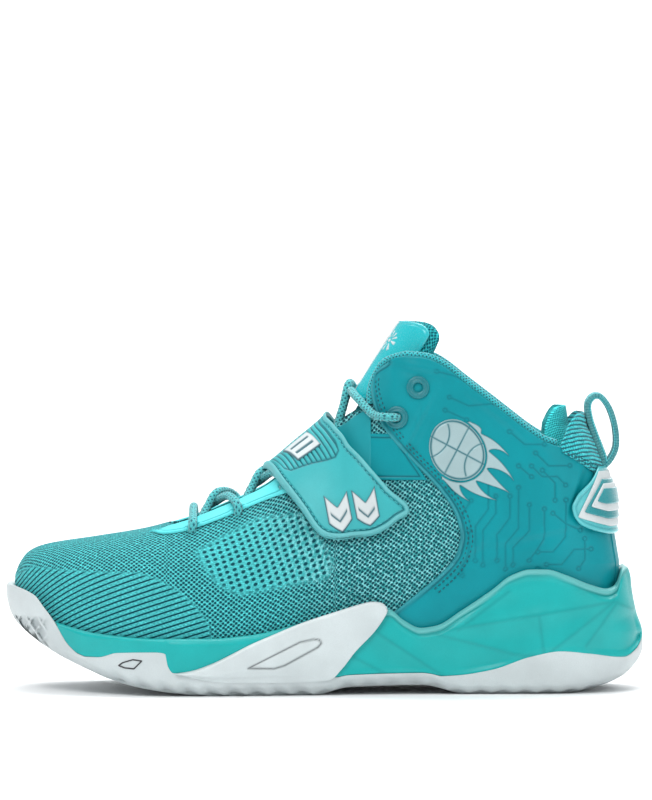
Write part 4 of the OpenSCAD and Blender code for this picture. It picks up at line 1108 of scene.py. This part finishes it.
T2, V2 = grid(np.linspace(0, 1, 300), np.linspace(0, 1, 130))
outer_wall = collar_wall(T2, V2)
wall_n = unit(np.cross(np.gradient(outer_wall, axis=0), np.gradient(outer_wall, axis=1)))
centre_line = point(70 + 0 * T2, 3, 90 + 0 * T2)
sgn = np.sign(np.median(np.sum((wall_n * (centre_line - outer_wall))[:, 70:], -1)))
collar = shell("collar_pad", outer_wall, outer_wall - sgn * wall_n * 0.9, "shoe", mats["mesh"],
               "lining_fabric", ["collar_lining", "collar_foam"])

BINDING_EAR = [[22.7, 134], [23.1, 141], [26, 148], [31.5, 154.4]]
for side, label in SIDES:
    ear = [skin(p[0] - 1.2, p[1], side, -1.5) for p in BINDING_EAR]
    top = [skin(x, collar_top(x) + 1.2, side, -1.5) for x in np.arange(41, 119, 5.5)]
    path = even(crossed(ear + top, 12), 0.45)
    loops(braid(path, 1.75, 16, 2.6, 0.12), f"collar_binding_{label}", "shoe", mats["binding"],
          "binding_fabric", ["collar_binding"])

# the cushion behind the ankle
PAD_D, PAD_X = -6.8, 113


def pad_face(U, V, d):
    dome = np.sin(np.pi * clamp(U, 0.02, 0.98))**0.5 * np.sin(np.pi * clamp(V, 0.03, 0.97))**0.5
    return wrap(U, PAD_X, PAD_D, lambda x, side, s: skin(
        x, mix(97, 117 + 16 * np.sin(np.pi / 2 * clamp(s * 1.6)), V), side, PAD_D)
        - np.stack([d * 6.5 * dome + 0.3, 0 * d, 0 * d], -1))


U3, V3 = grid(np.linspace(0, 1, 120), np.linspace(0, 1, 100))
diag = saw((U3 * 48 + V3 * 36) / 2.6)
pad_out = pad_face(U3, V3, 1.0 + 0.05 * (1 - diag**2))
pad = shell("heel_cushion", pad_out, pad_face(U3, V3, 0 * U3), "shoe", mats["fine"], "pad_fabric",
            ["heel_pad"])

# the insole, dished towards its middle
def insole_level(h, pull):
    inner = lambda x: mix(-KNIT_T - 0.3, -7, clamp((np.asarray(x, float) - 10) / 20)) - 0.9
    return body_ring(lambda x: curve(BED, x) + 2.8 + h, lambda x: inner(x) - pull)


sock = [shrunk(insole_level(0, 1), k) for k in (0, 0.5, 1)]
sock += [insole_level(h, pull) for h, pull in ((1.2, 0), (3.6, 0), (4.2, 0.7), (4.5, 2))]
sock += [shrunk(sock[-1], k, lambda x, y, k: -0.5 * (1 - k**2)) for k in (0.9, 0.75, 0.6, 0.45, 0.3, 0.15, 0)]
stacked("sock_liner", sock, mats["fine"], "insole_fabric", ["insole"])

# ---------------------------------------------------------------- eyestays, rings and lace
STAY_LOW = [[-83, 73.6], [-81, 74.2], [-76, 73.4], [-67, 74.4], [-53, 78.8], [-39, 84.4], [-29, 88.6],
            [-18, 92.6], [5, 99], [30, 104.5], [44, 107]]
STAY_TURN = 0.19
HOLES, HOLE_TURN = [-61.5, -40.5, -19.5, 2], 0.3
RINGS = [[36, 128.5], [48, 142.5]]
LACE_R = 1.95


def stay_face(side):
    def f(u, v, d):
        x = mix(-82, 22, u)
        low = turn_at(x, curve(STAY_LOW, x))
        spread = np.where(x < 5, STAY_TURN, mix(STAY_TURN, turn_at(22, 133), clamp((x - 5) / 17)))
        high = mix(low * 0.97, spread, np.sqrt(clamp((x + 82) / 9)))
        return arch(x, mix(low, high, v), side, d)
    return f


def stay_detail(side):
    holes = np.array([arch(np.float64(x), HOLE_TURN, side, 1.4) for x in HOLES])

    def detail(P, D, U, V):
        d = near(P, holes)
        ring = 0.55 * bell(d, 3.6, 0.5) - 1.2 * (1 - smooth(d, 1.6, 2.4))
        low = near(P, rim(P, "w"))
        seam = bell(low, 1.7, 0.32)
        dim = 0.93 * smooth(P[..., 0], 0, 5)
        return ring - 0.35 * seam, {"line": np.maximum(np.maximum(0.75 * seam, 1 - smooth(d, 1.7, 2.6)), dim)}
    return detail


for side, label in SIDES:
    film(f"eyestay_{label}_film", stay_face(side), steps(170), steps(56), 0.35, 0.2 + OVERLAY_T, "shoe",
         mats["stay"], "overlay_film", [f"eyestay_{label}"], r=0.8, detail=stay_detail(side))


def ring_frame(p, side):
    """A place on the quarter and its outward normal."""
    c, a, b = (skin(p[0] + i, p[1] + j, side, QUARTER_D) for i, j in ((0, 0), (1, 0), (0, 1)))
    n = unit(np.cross(a - c, b - c))
    return c, n * (1 if n[1] * side > 0 else -1)


# the rings' section: how far from the axis, and how high
PROFILE = [(2.1, -0.2), (2.1, 0.55), (2.45, 1.05), (3.0, 1.35), (3.5, 1.25), (3.75, 0.85), (4.1, 0.75),
           (4.5, 0.95), (4.9, 0.9), (5.2, 0.6), (5.3, 0.1), (5.3, -0.2)]
for side, label in SIDES:
    for number, p in enumerate(RINGS):
        c, n = ring_frame(p, side)
        c = c + n * 0.35
        a = unit(np.cross(n, [0.0, 0.0, 1.0]))
        b = np.cross(n, a)
        q = np.linspace(0, 2 * np.pi, 49)[:-1]
        lathe = np.array([c + n * h + r * circle(q, a, b) for r, h in PROFILE])
        lathe = np.concatenate([lathe, lathe[:1]])
        loops(lathe, f"lace_ring_{label}_{number}", "shoe", mats["ring"], "ring_rubber", ["eyelet_rings"],
              caps=False, weld=0.01)


def in_hole(k, side):
    """The lace's place inside hole k."""
    return arch(HOLES[k], HOLE_TURN, side, -KNIT_T - 0.2 - 1.3)


def over_hole(k, side):
    """The lace's place on top of hole k."""
    return arch(HOLES[k], HOLE_TURN, side, 0.4 + OVERLAY_T + LACE_R)


def crossing(k, side, high):
    """From hole k on the other side, over the throat, to the next hole on this side."""
    x0, x1 = HOLES[k], HOLES[k + 1]
    return [in_hole(k, -side), arch(mix(x0, x1, 0.14), 0.19, -side, -KNIT_T - 1.4),
            arch(mix(x0, x1, 0.3), 0.08, -side, 0.5),
            arch(mix(x0, x1, 0.5), 0, side, 1.2 + (2 * LACE_R if high else 0)),
            arch(mix(x0, x1, 0.78), 0.15, side, 0.5 + OVERLAY_T + LACE_R + (0.8 if high else 0)),
            over_hole(k + 1, side)]


def last_leg(side, high):
    """From the last hole up to the ring in the quarter, through it, and down inside."""
    c, n = ring_frame(RINGS[0], side)
    return [in_hole(3, -side), arch(4.5, 0.19, -side, -KNIT_T - 1.4), arch(8.5, 0.08, -side, 1.2),
            arch(11.5, 0, side, 6.6 if high else 3.2), arch(15, 0.26, side, 5 if high else 3.4),
            skin(23, 130, side, 3.6), c + np.array([-4.5, 0, 0]) + n * (LACE_R + 2.2), c + n * 1.4, c - n * 4,
            skin(RINGS[0][0] + 4, 124, side, -11), skin(50, 113, side, -12)]


def lace_half(side):
    out = [over_hole(0, side)]
    for k, s in ((0, -side), (1, side), (2, -side)):
        out += crossing(k, s, s > 0)
    return out + last_leg(side, side > 0)


lace_path = lace_half(1)[::-1] + [arch(HOLES[0], 0, 1, 3.2)] + lace_half(-1)
lace_path = even(crossed(lace_path, 14), 0.6)
loops(braid(lace_path, LACE_R, 16, 3.4, 0.12), "lace_cord", "shoe", mats["lace"], "lace_fabric", ["lace"])
for side, label in SIDES:
    tip = last_leg(side, side > 0)
    ahead = unit(skin(58, 103, side, -13) - tip[-1])
    along = tip[-1] + ahead * np.array([-2.0, 0.0, 0.3, 11.5, 12.0])[:, None]
    radii = np.array([1.2, 1.25, 1.5, 1.45, 1.0])
    t, n, b = turned(along)
    q = np.linspace(0, 2 * np.pi, 21)[:-1]
    rings = along[:, None] + radii[:, None, None] * circle(q, n[:, None], b[:, None])
    loops(rings, f"lace_tip_{label}", "shoe", mats["aglet"], "clear_plastic", ["lace_aglets"])


# ---------------------------------------------------------------- heel
def band_face(x0, low, high):
    """A face wrapped round the heel: x0(z) is its front edge, between heights low and high."""
    def f(u, v, d):
        z = mix(low, high, v)
        return wrap(u, x0(z), d, lambda x, side, s: skin(x, z, side, d))
    return f


def tab_face(u, v, d):
    return wrap(u, 120, d, lambda x, side, s: skin(x, mix(mix(112, 97, np.sin(np.pi / 2 * s)), mix(
        115.5, 130, np.sin(np.pi / 2 * clamp(s * 1.6))), v), side, d))


def tab_detail(P, D, U, V):
    along = run_lengths(P)
    rows = saw((P[..., 2] + 0.35 * P[..., 0]) / 2.3)
    picks = saw(along[..., 0] / 1.9)
    hem = near(P, rim(P, "w"))
    return -0.35 * smooth(rows, 0.5, 0.95) - 0.15 * smooth(picks, 0.6, 1.0) - 0.3 * bell(hem, 2.4, 0.5), {}


TAB_HIGH = 2.5
film("heel_tab_web", tab_face, steps(190), steps(70), 1.45, TAB_HIGH, "shoe", mats["web"], "webbing",
     ["heel_tab"], r=0.7, detail=tab_detail)
hem = [even(tab_face(np.linspace(0.02, 0.98, 200), np.full(200, v), TAB_HIGH), 0.4) for v in (0.09, 0.17)]
stitches("heel_tab_stitching", hem, [unit(h - point(95 + 0 * h[:, 0], 3.3, h[:, 2])) for h in hem], "shoe",
         mats["thread"], "webbing", 1.3, 0.8, 0.28)

# the clip: a frame with four nested V plates on it, each with its tip's x and z, the rise of its upper arm,
# and its stand-off from and to
CLIP_FRONT = [[73, 137], [76, 127], [79, 121.5], [83, 119.3], [86, 119], [91.5, 122], [99, 131], [105, 136.2]]
CLIP_PLATES = [("clip_white_outer", 120.9, 82.0, 0.70, 3.4, 4.5, "badge", "white_plastic", ["heel_chevrons"]),
               ("clip_teal", 124.6, 84.4, 0.80, 4.2, 5.2, "clip_dark", "clip_plastic", []),
               ("clip_white_inner", 128.2, 86.9, 0.80, 4.9, 5.9, "badge", "white_plastic", []),
               ("clip_core", 131.8, 89.2, 0.80, 5.6, 6.4, "clip_dark", "clip_plastic", [])]
CLIP_PEAK = 136.5


def clip_ridge(P, D, U, V):
    return 0.3 * bell(D, 1.2, 0.6), {"line": 0.6 * bell(D, 2.1, 0.35)}


film("clip_frame", band_face(lambda z: curve(CLIP_FRONT, z), 73.6, 105), steps(150), steps(60), 2.7, 3.7,
     "shoe", mats["clip"], "clip_plastic", ["heel_clip"], r=0.8, detail=clip_ridge)
for label, tip_x, tip_z, arm, d0, d1, mat, slot, stands in CLIP_PLATES:
    def lean_in(z, x=tip_x, c=tip_z, a=arm):
        return x + np.hypot(np.where(z > c, (z - c) * a, (c - z) * 3.2), 0.5)

    arms = band_face(lean_in, tip_z - (CLIP_PEAK - tip_x) / 3.2, min(103, tip_z + (CLIP_PEAK - tip_x) / arm))
    film(label, arms, steps(150), steps(64), d0, d1, "shoe", mats[mat], slot, stands, r=0.6)

# the pull loop: one band of webbing, bending where its root meets the heel
LOOP_LINE = [[131.0, 104.5], [133.6, 106.9], [136.2, 111.4], [137.1, 116.4], [136.2, 124.3],
             [133.6, 132.0], [129.8, 137.0], [126.2, 137.2], [123.8, 133.6], [124.4, 127.4],
             [126.6, 120.4], [129.2, 113.6], [131.0, 108.6], [131.4, 105.5]]
loop_path = even(crossed([[x, 0, z] for x, z in LOOP_LINE], 14), 0.5)
LOOP_WIDE, LOOP_THICK, LOOP_COLS = 18.0, 2.8, 37
lt = unit(np.gradient(loop_path, axis=0))
ln = np.stack([-lt[:, 2], 0 * lt[:, 0], lt[:, 0]], -1)
cols = np.concatenate([np.linspace(-1, 1, LOOP_COLS), np.linspace(1, -1, LOOP_COLS)[1:-1]])
face_side = np.concatenate([np.ones(LOOP_COLS), -np.ones(LOOP_COLS - 2)])
arc_s = np.arange(len(loop_path)) * 0.5
ribs = saw((arc_s[:, None] + 0.3 * cols[None] * 9) / 2.2)
swell = 1 + 0.25 * np.sin(np.pi * clamp(arc_s / arc_s[-1] * 1.1 - 0.5))[:, None]
thick = (LOOP_THICK / 2 - 0.16 * smooth(ribs, 0.5, 0.95)) * swell * (
    0.35 + 0.65 * np.sqrt(clamp(1 - np.abs(cols)**12))[None])
loop_rings = (loop_path[:, None] + (cols[None, :, None] * LOOP_WIDE / 2) * np.array([0, 1.0, 0])
              + (face_side[None] * thick)[..., None] * ln[:, None])
loop_rings[..., 1] += curve(CENTRE, HEEL_X)
loop = loops(loop_rings, "pull_loop_web", None, mats["loop"], None, [])
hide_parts("pull_loop")
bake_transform(loop)

# ---------------------------------------------------------------- the ball badge and its streaks
BALL, BALL_R = (66.0, 113.5), 14.3


def ball_face(u, v, d):
    q = 2 * np.pi * u
    return skin(BALL[0] + BALL_R * v * np.cos(q), BALL[1] + BALL_R * v * np.sin(q), -1, d)


def arc_line(cx, cz, r, a0, a1):
    q = np.radians(np.linspace(a0, a1, 60))
    return np.stack([cx + r * np.cos(q), cz + r * np.sin(q)], -1)


def ball_detail(P, D, U, V):
    cx, cz = np.mean(P[..., 0]), BALL[1]
    k = radians(28)
    spin = lambda pts: np.stack([cx + pts[:, 0] * np.cos(k) + pts[:, 1] * np.sin(k),
                                 cz - pts[:, 0] * np.sin(k) + pts[:, 1] * np.cos(k)], -1)
    seams = [np.array([(0, -14.0), (0, 14.0)]), np.array([(-14.0, 0), (14.0, 0)]),
             arc_line(-17, 0, 11.5, -48, 48), arc_line(17, 0, 11.5, 132, 228)]
    d = near(P, np.vstack([dense(spin(s)) for s in seams]), True)
    rim_d = BALL_R * (1 - V)
    line = np.maximum(bell(d, 0, 0.42), bell(rim_d, 0.9, 0.55))
    return 0.5 * np.sqrt(clamp(1 - V**2)) - 0.35 * line, {"line": line}


film("ball_badge_disc", ball_face, np.linspace(0, 1, 180), np.linspace(0.001, 1, 70), QUARTER_D + 0.05,
     QUARTER_D + 0.55, "shoe", mats["silver"], "silver_print", ["ball_badge"], r=0.5, edges="e",
     detail=ball_detail, weld=0.01)


# a plain tail of swept points behind the ball
TAIL_R, TAIL_POINTS, TAIL_AIM = 15.0, 6.0, -40


def tail_face(u, v, d):
    q = mix(58, -128, u)
    tooth_at = (u * TAIL_POINTS + 0.1) % 1
    lobe = np.where(tooth_at < 0.3, tooth_at / 0.3, (1 - tooth_at) / 0.7)
    reach = 1.4 + 15.0 * lobe**1.5 * np.sin(np.pi * clamp(u * 0.92 + 0.04))**0.9 * smooth(u, 0.0, 0.14)
    r = TAIL_R + reach * v
    q = np.radians(q + (TAIL_AIM - q) * 0.62 * ((r - TAIL_R) / TAIL_R)**1.2)
    return skin(BALL[0] + r * np.cos(q), BALL[1] + r * np.sin(q), -1, d)


film("ball_tail", tail_face, steps(240), steps(26), QUARTER_D + 0.05, QUARTER_D + 0.5, "shoe", mats["silver"],
     "silver_print", r=0.4, weld=0.01,
     detail=lambda P, D, U, V: (0 * D, {"line": 0.8 * bell(D, 0.1, 0.25)}))

# ---------------------------------------------------------------- tongue
TONGUE_LINE = [[-8, 0, 113], [6, 0, 127.5], [16.5, 0, 144.5], [26, 0, 160], [35.5, 0, 174.5]]
TONGUE = crossed(TONGUE_LINE, 40)
T_LAST = len(TONGUE) - 1
T_TAN = unit(np.gradient(TONGUE, axis=0))


def tongue_at(k, phi, drop):
    """k from 0 to 1 up the tongue, phi in degrees round the shin, drop into the shoe."""
    i = clamp(k) * T_LAST
    here = np.stack([np.interp(i, np.arange(T_LAST + 1), TONGUE[:, j]) for j in range(3)], -1)
    t = unit(np.stack([np.interp(i, np.arange(T_LAST + 1), T_TAN[:, j]) for j in range(3)], -1))
    n = np.stack([-t[..., 2], 0 * t[..., 0], t[..., 0]], -1)
    a, b = mix(20.5, 23.5, k) - drop, mix(28, 23, k) - drop
    up = 0.6 * clamp((k - 0.5) / 0.5)
    q = np.radians(phi)
    fall = 1 - np.cos(q)
    out = here + n * (-drop - b * fall)[..., None] + t * (up * b * fall)[..., None]
    out[..., 1] += a * np.sin(q) + curve(CENTRE, here[..., 0])
    return out


def tongue_wide(k):
    """Half the angle the tongue covers, k up its length."""
    return np.where(k < 0.5, mix(44, 66, smooth(k, 0.36, 0.52)), mix(66, 84, smooth(k, 0.5, 0.8)))


def round_top(u, v, k0, deep):
    """How far up the tongue a point is: its top corners are rounded off."""
    side = np.abs(2 * v - 1)
    top = 1 - deep * (1 - (1 - clamp((side - 0.45) / 0.55)**2.4)**(1 / 2.4))
    return k0 + (top - k0) * u


def tongue_pad(u, v, d):
    """One padded piece from under the vamp to the tip; d is 0 on its front and 1 on its back."""
    k = round_top(u, v, 0.17, 0.16)
    wide = tongue_wide(k)
    puff = np.sin(np.pi * clamp(v))**0.4 * np.sin(np.pi / 2 * clamp((1 - u) / 0.07))**0.5
    front = np.where(k < 0.5, mix(4.2, 1.4, smooth(k, 0.42, 0.56)), 1.4)
    mid = front + 2.5
    drop = mid + (2 * d - 1) * (2.6 * puff * mix(0.62, 1.0, smooth(k, 0.4, 0.6)) + 0.12)
    return tongue_at(k, wide * (2 * v - 1), drop)


U4, V4 = grid(np.linspace(0, 1, 170), np.linspace(0, 1, 100))
tongue = shell("tongue_pad", tongue_pad(U4, V4, 0 * U4), tongue_pad(U4, V4, 0 * U4 + 1), None,
               mats["mesh"], None)
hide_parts("tongue_base", "tongue_flap", "tongue_flap_lining")
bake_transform(tongue)


def face_at(u, v, d):
    k = round_top(u, v, 0.40, 0.10) - 0.02 * u
    return tongue_at(k, (tongue_wide(k) - 14) * (2 * v - 1), 1.35 - d)


def face_detail(P, D, U, V):
    """A white stripe down the front, a groove by the edge, and on each side a small burst of plain lines."""
    phi = np.abs(2 * V - 1)
    mark = np.zeros(P.shape[:-1])
    centre = tongue_at(np.float64(0.82), np.float64(-22.0), 0.4)
    for side in (-1, 1):
        mid_y = curve(CENTRE, centre[0])
        c = np.array([centre[0], mid_y + side * (mid_y - centre[1]), centre[2]])
        d = np.linalg.norm(P - c, axis=-1)
        ang = np.arctan2(P[..., 2] - c[2], P[..., 1] - c[1])
        ray = saw(ang / np.pi * 4.5)
        mark = np.maximum(mark, (ray > 0.62) * smooth(d, 5.6, 5.0) * smooth(d, 1.6, 2.2))
        mark = np.maximum(mark, smooth(d, 1.2, 0.8))
    seam = bell(D, 1.6, 0.35)
    pale = smooth(phi, 0.24, 0.19)
    return 0.5 * np.sin(np.pi * V)**0.5 - 0.25 * seam + 0.2 * mark, {"line": np.maximum(mark, pale * 0.95)}


face = film("tongue_front", face_at, steps(190), steps(110), 0.0, 1.0, None, mats["face"], None, r=1.0,
            detail=face_detail)
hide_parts("tongue_face")
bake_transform(face)

# ---------------------------------------------------------------- strap
FRONT_X = [[-1, 2], [-0.6, -12], [0, -29], [0.33, -22], [0.6, -11], [0.85, -1.5], [1, 8]]
FRONT_A = [[-1, 0.72], [-0.6, 0.5], [-0.3, 0.28], [0, 0], [0.33, 0.3], [0.6, 0.52], [0.85, 0.655], [1, 0.705]]
REAR_X = [[-1, 38], [-0.6, 17], [0, 0.8], [0.33, 6.3], [0.6, 17], [0.85, 33], [1, 42.5]]
REAR_A = [[-1, 0.82], [-0.6, 0.5], [-0.3, 0.28], [0, 0], [0.33, 0.312], [0.6, 0.545], [0.85, 0.783],
          [1, 0.857]]
RISE = [[-1, 1.7], [-0.62, 3.4], [-0.25, 5.6], [0.3, 5.6], [0.6, 3.6], [1, 3]]
FOLD_T, STRAP_GAP = -0.56, 0.055


def strap_at(t, v, d):
    """The strap: t from -1 at its inner end, over 0 on the crest, to 1 at its free end; v goes rearwards."""
    t, v = np.broadcast_arrays(np.asarray(t, float), np.asarray(v, float))
    low_bow = 0.024 * (clamp((t - 0.6) / 0.4))**2
    fold_bow = -0.045 * clamp((-0.25 - t) / 0.3)
    x = mix(curve(FRONT_X, t), curve(REAR_X, t), v)
    a = mix(curve(FRONT_A, t), curve(REAR_A, t), v) + (low_bow + fold_bow) * np.sin(np.pi * v)
    return arch(x, np.abs(a), np.where(t < 0, 1, -1), curve(RISE, t) + d)


def strap_face(u, v, d):
    """The band from its fold to its end, with a wide round at the front corner and a small one behind."""
    front = 0.27 * (1 - np.sqrt(1 - clamp((u - 0.86) / 0.14)**2))
    rear = 0.11 * (1 - np.sqrt(1 - clamp((u - 0.955) / 0.045)**2))
    rear = rear + 0.05 * bell(u, 0.47, 0.06) - 0.03 * bell(u, 0.61, 0.05)
    return strap_at(mix(FOLD_T, 1, u), mix(front, 1 - rear, v), d)


SHIELD = [(-4, 12), (16, 12), (30, 14), (35, 20), (39, 50), (45, 80), (43.5, 87), (37, 89), (-4, 89)]


def strap_detail(P, D, U, V):
    """A raised border with a groove inside it, and a ribbed field over the instep."""
    far = near(P, rim(P, "wes"))
    roll_up = 0.7 * (1 - smooth(far, 1.7, 2.3))
    groove = bell(far, 2.75, 0.4)
    q = np.stack([mix(FOLD_T, 1, U) * 100, 0 * U, V * 100], -1)
    field = inside(q, SHIELD, 0.9)
    rib_cut = smooth(saw(V * 16), 0.5, 0.8) * field
    edge_cut = bell(near(q, dense(SHIELD), True), 0, 0.75)
    line = np.maximum(np.maximum(groove * 0.9, rib_cut * 0.85), edge_cut * 0.9)
    rise = roll_up - 0.5 * groove - 0.5 * rib_cut - 0.3 * edge_cut
    # painted highlight: the raised border is painted paler
    return rise, {"line": line, "pale": 0.4 * (roll_up > 0.2)}


film("strap_band_film", strap_face, steps(300, 0.002), steps(150), 0.0, STRAP_T, "strap", mats["strap"],
     "strap_film", ["strap_band", "strap_rim"], r=1.0, detail=strap_detail, weld=0.004)


def anchor_detail(P, D, U, V):
    seam = bell(D, 2.6, 0.4)
    return 0.35 * (1 - smooth(D, 1.6, 2.2)) - 0.4 * seam, {"line": 0.8 * seam}


def strap_patch(t0, t1, v0, v1):
    return lambda u, v, d: strap_at(mix(t0, t1, u), mix(v0, v1, v), d)


film("strap_anchor_film", strap_patch(-1, FOLD_T - STRAP_GAP, 0.02, 0.98), steps(60), steps(60), 0.0, STRAP_T,
     "shoe", mats["strap"], "strap_film", ["strap_anchor"], r=0.9, detail=anchor_detail)
# a soft bridge of webbing across the fold
fold = film("strap_fold", strap_patch(FOLD_T - STRAP_GAP - 0.02, FOLD_T + 0.02, 0.06, 0.94),
            np.linspace(0, 1, 26), steps(60), 0.55, 1.5, None, mats["web"], None, r=0.4)
A_SIDE = strap_at(FOLD_T - STRAP_GAP, 0.5, 1.0) * MM
B_SIDE = strap_at(FOLD_T, 0.5, 1.0) * MM
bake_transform(fold)


def strap_line(inset, d):
    """A line inside the strap's edge, along its front, round its end and back."""
    U, V = grid(np.linspace(0.01, 0.995, 240), np.linspace(0, 1, 160))
    P = strap_face(U, V, STRAP_T)
    far = near(P, rim(P, "wes"))
    hits = [(u, np.where(row > inset)[0]) for u, row in zip(U[:, 0], far)]
    u, lo, hi = np.array([(u, V[0, hit[0]], V[0, hit[-1]]) for u, hit in hits if len(hit)]).T
    uu = np.concatenate([u, np.full(30, u[-1]), u[::-1]])
    vv = np.concatenate([lo, np.linspace(lo[-1], hi[-1], 30), hi[::-1]])
    return even(strap_face(uu, vv, d), 0.4)


seam_line = strap_line(2.75, STRAP_T - 0.25)
seam_up = unit(seam_line - point(seam_line[:, 0] + 6, 0, seam_line[:, 2] - 25))
stitches("strap_stitching", [seam_line], [seam_up], "strap", mats["thread_light"], "strap_film", 1.9, 0.9,
         0.3)


def tape_face(u, v, d):
    """The shoe's skin under the strap's end."""
    p = strap_patch(0.66, 0.93, 0.16, 0.84)(u, v, 0)
    return skin(p[..., 0], p[..., 2], -1, d)


film("strap_hook_tape", strap_patch(0.66, 0.93, 0.18, 0.82), steps(50), steps(50), -0.65, -0.15, "strap",
     mats["hook"], "touch_tape", ["strap_hook_patch"], r=0.25)
film("strap_loop_tape", tape_face, steps(50), steps(50), 1.65, 2.2, "shoe", mats["hook"], "touch_tape",
     ["loop_patch"], r=0.25)

# two plain chevrons near the strap's end, nearly upright in side view
GRID_T, GRID_V = grid(np.linspace(0.4, 1, 241), np.linspace(0, 1, 201))
GRID_P = strap_at(GRID_T, GRID_V, STRAP_T)
CHEVRON_TURN = radians(12)


def chevron(cx, cz, wide, high):
    """A chevron about its middle in side view, laid on the strap between the grid points near its corners."""
    corners = []
    for p, q in ((-1, -1), (1, -1), (-1, 1), (1, 1)):
        x = cx + (p * wide * np.cos(CHEVRON_TURN) - q * high * np.sin(CHEVRON_TURN)) / 2
        z = cz + (p * wide * np.sin(CHEVRON_TURN) + q * high * np.cos(CHEVRON_TURN)) / 2
        k = np.argmin(np.hypot(GRID_P[..., 0] - x, GRID_P[..., 2] - z))
        corners.append((GRID_T.flat[k], GRID_V.flat[k]))

    def face(u, v, d):
        rise = mix(0.30 * np.abs(2 * u - 1), 0.70 + 0.30 * np.abs(2 * u - 1), v)
        low = [mix(corners[0][k], corners[1][k], u) for k in (0, 1)]
        top = [mix(corners[2][k], corners[3][k], u) for k in (0, 1)]
        return strap_at(mix(low[0], top[0], rise), mix(low[1], top[1], rise), d)
    return face


def chevron_detail(P, D, U, V):
    groove = bell(V, 0.5, 0.06) * smooth(D, 1.4, 2.0)
    return -0.45 * groove, {"line": np.maximum(bell(D, 0.15, 0.45), groove) * 0.95}


def bar_detail(P, D, U, V):
    cut = (1 - smooth(np.abs(np.abs(U - 0.5) - 0.17), 0.04, 0.08)) * smooth(D, 1.6, 2.2)
    return -0.5 * cut, {"line": np.maximum(bell(D, 0.15, 0.45), cut) * 0.95}


def field_badge(u, v, d):
    return strap_at(mix(0.15, 0.32, u), mix(0.3, 0.68, v + 0.12 * (2 * u - 1)), d)


BADGES = [(chevron(6.7, 84.8, 11.2, 17.5), chevron_detail), (chevron(19.6, 87.4, 11.2, 17.5), chevron_detail),
          (field_badge, bar_detail)]
for number, (badge, detail) in enumerate(BADGES):
    film(f"strap_badge_{number}", badge, steps(70), steps(50), STRAP_T + 0.05, STRAP_T + 0.75, "strap",
         mats["badge"], "white_plastic", ["strap_badges"], r=0.5, detail=detail)

# the film behind the strap, between eyestay and quarter
def tail_seam(P, D, U, V):
    return -0.3 * bell(D, 1.8, 0.35), {"line": bell(D, 1.8, 0.35)}


for side, label in SIDES:
    def wing(u, v, d, s=side):
        z = mix(99.5, 121, v)
        x = mix(13.0, 22 + (142 - z) * 0.675 - 1.2, u)
        return skin(x, z, s, d)

    film(f"eyestay_{label}_tail", wing, steps(60), steps(60), 0.3, 1.0, "shoe", mats["film"], "overlay_film",
         r=0.6, detail=tail_seam)

# the stiffeners that stay as they were designed
KEPT = {"shank_plate": "black", "lasting_board": "board", "toe_puff": "board", "heel_counter": "board"}
for node, mat in KEPT.items():
    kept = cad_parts[node]
    kept.data.materials.clear()
    kept.data.materials.append(mats[mat])
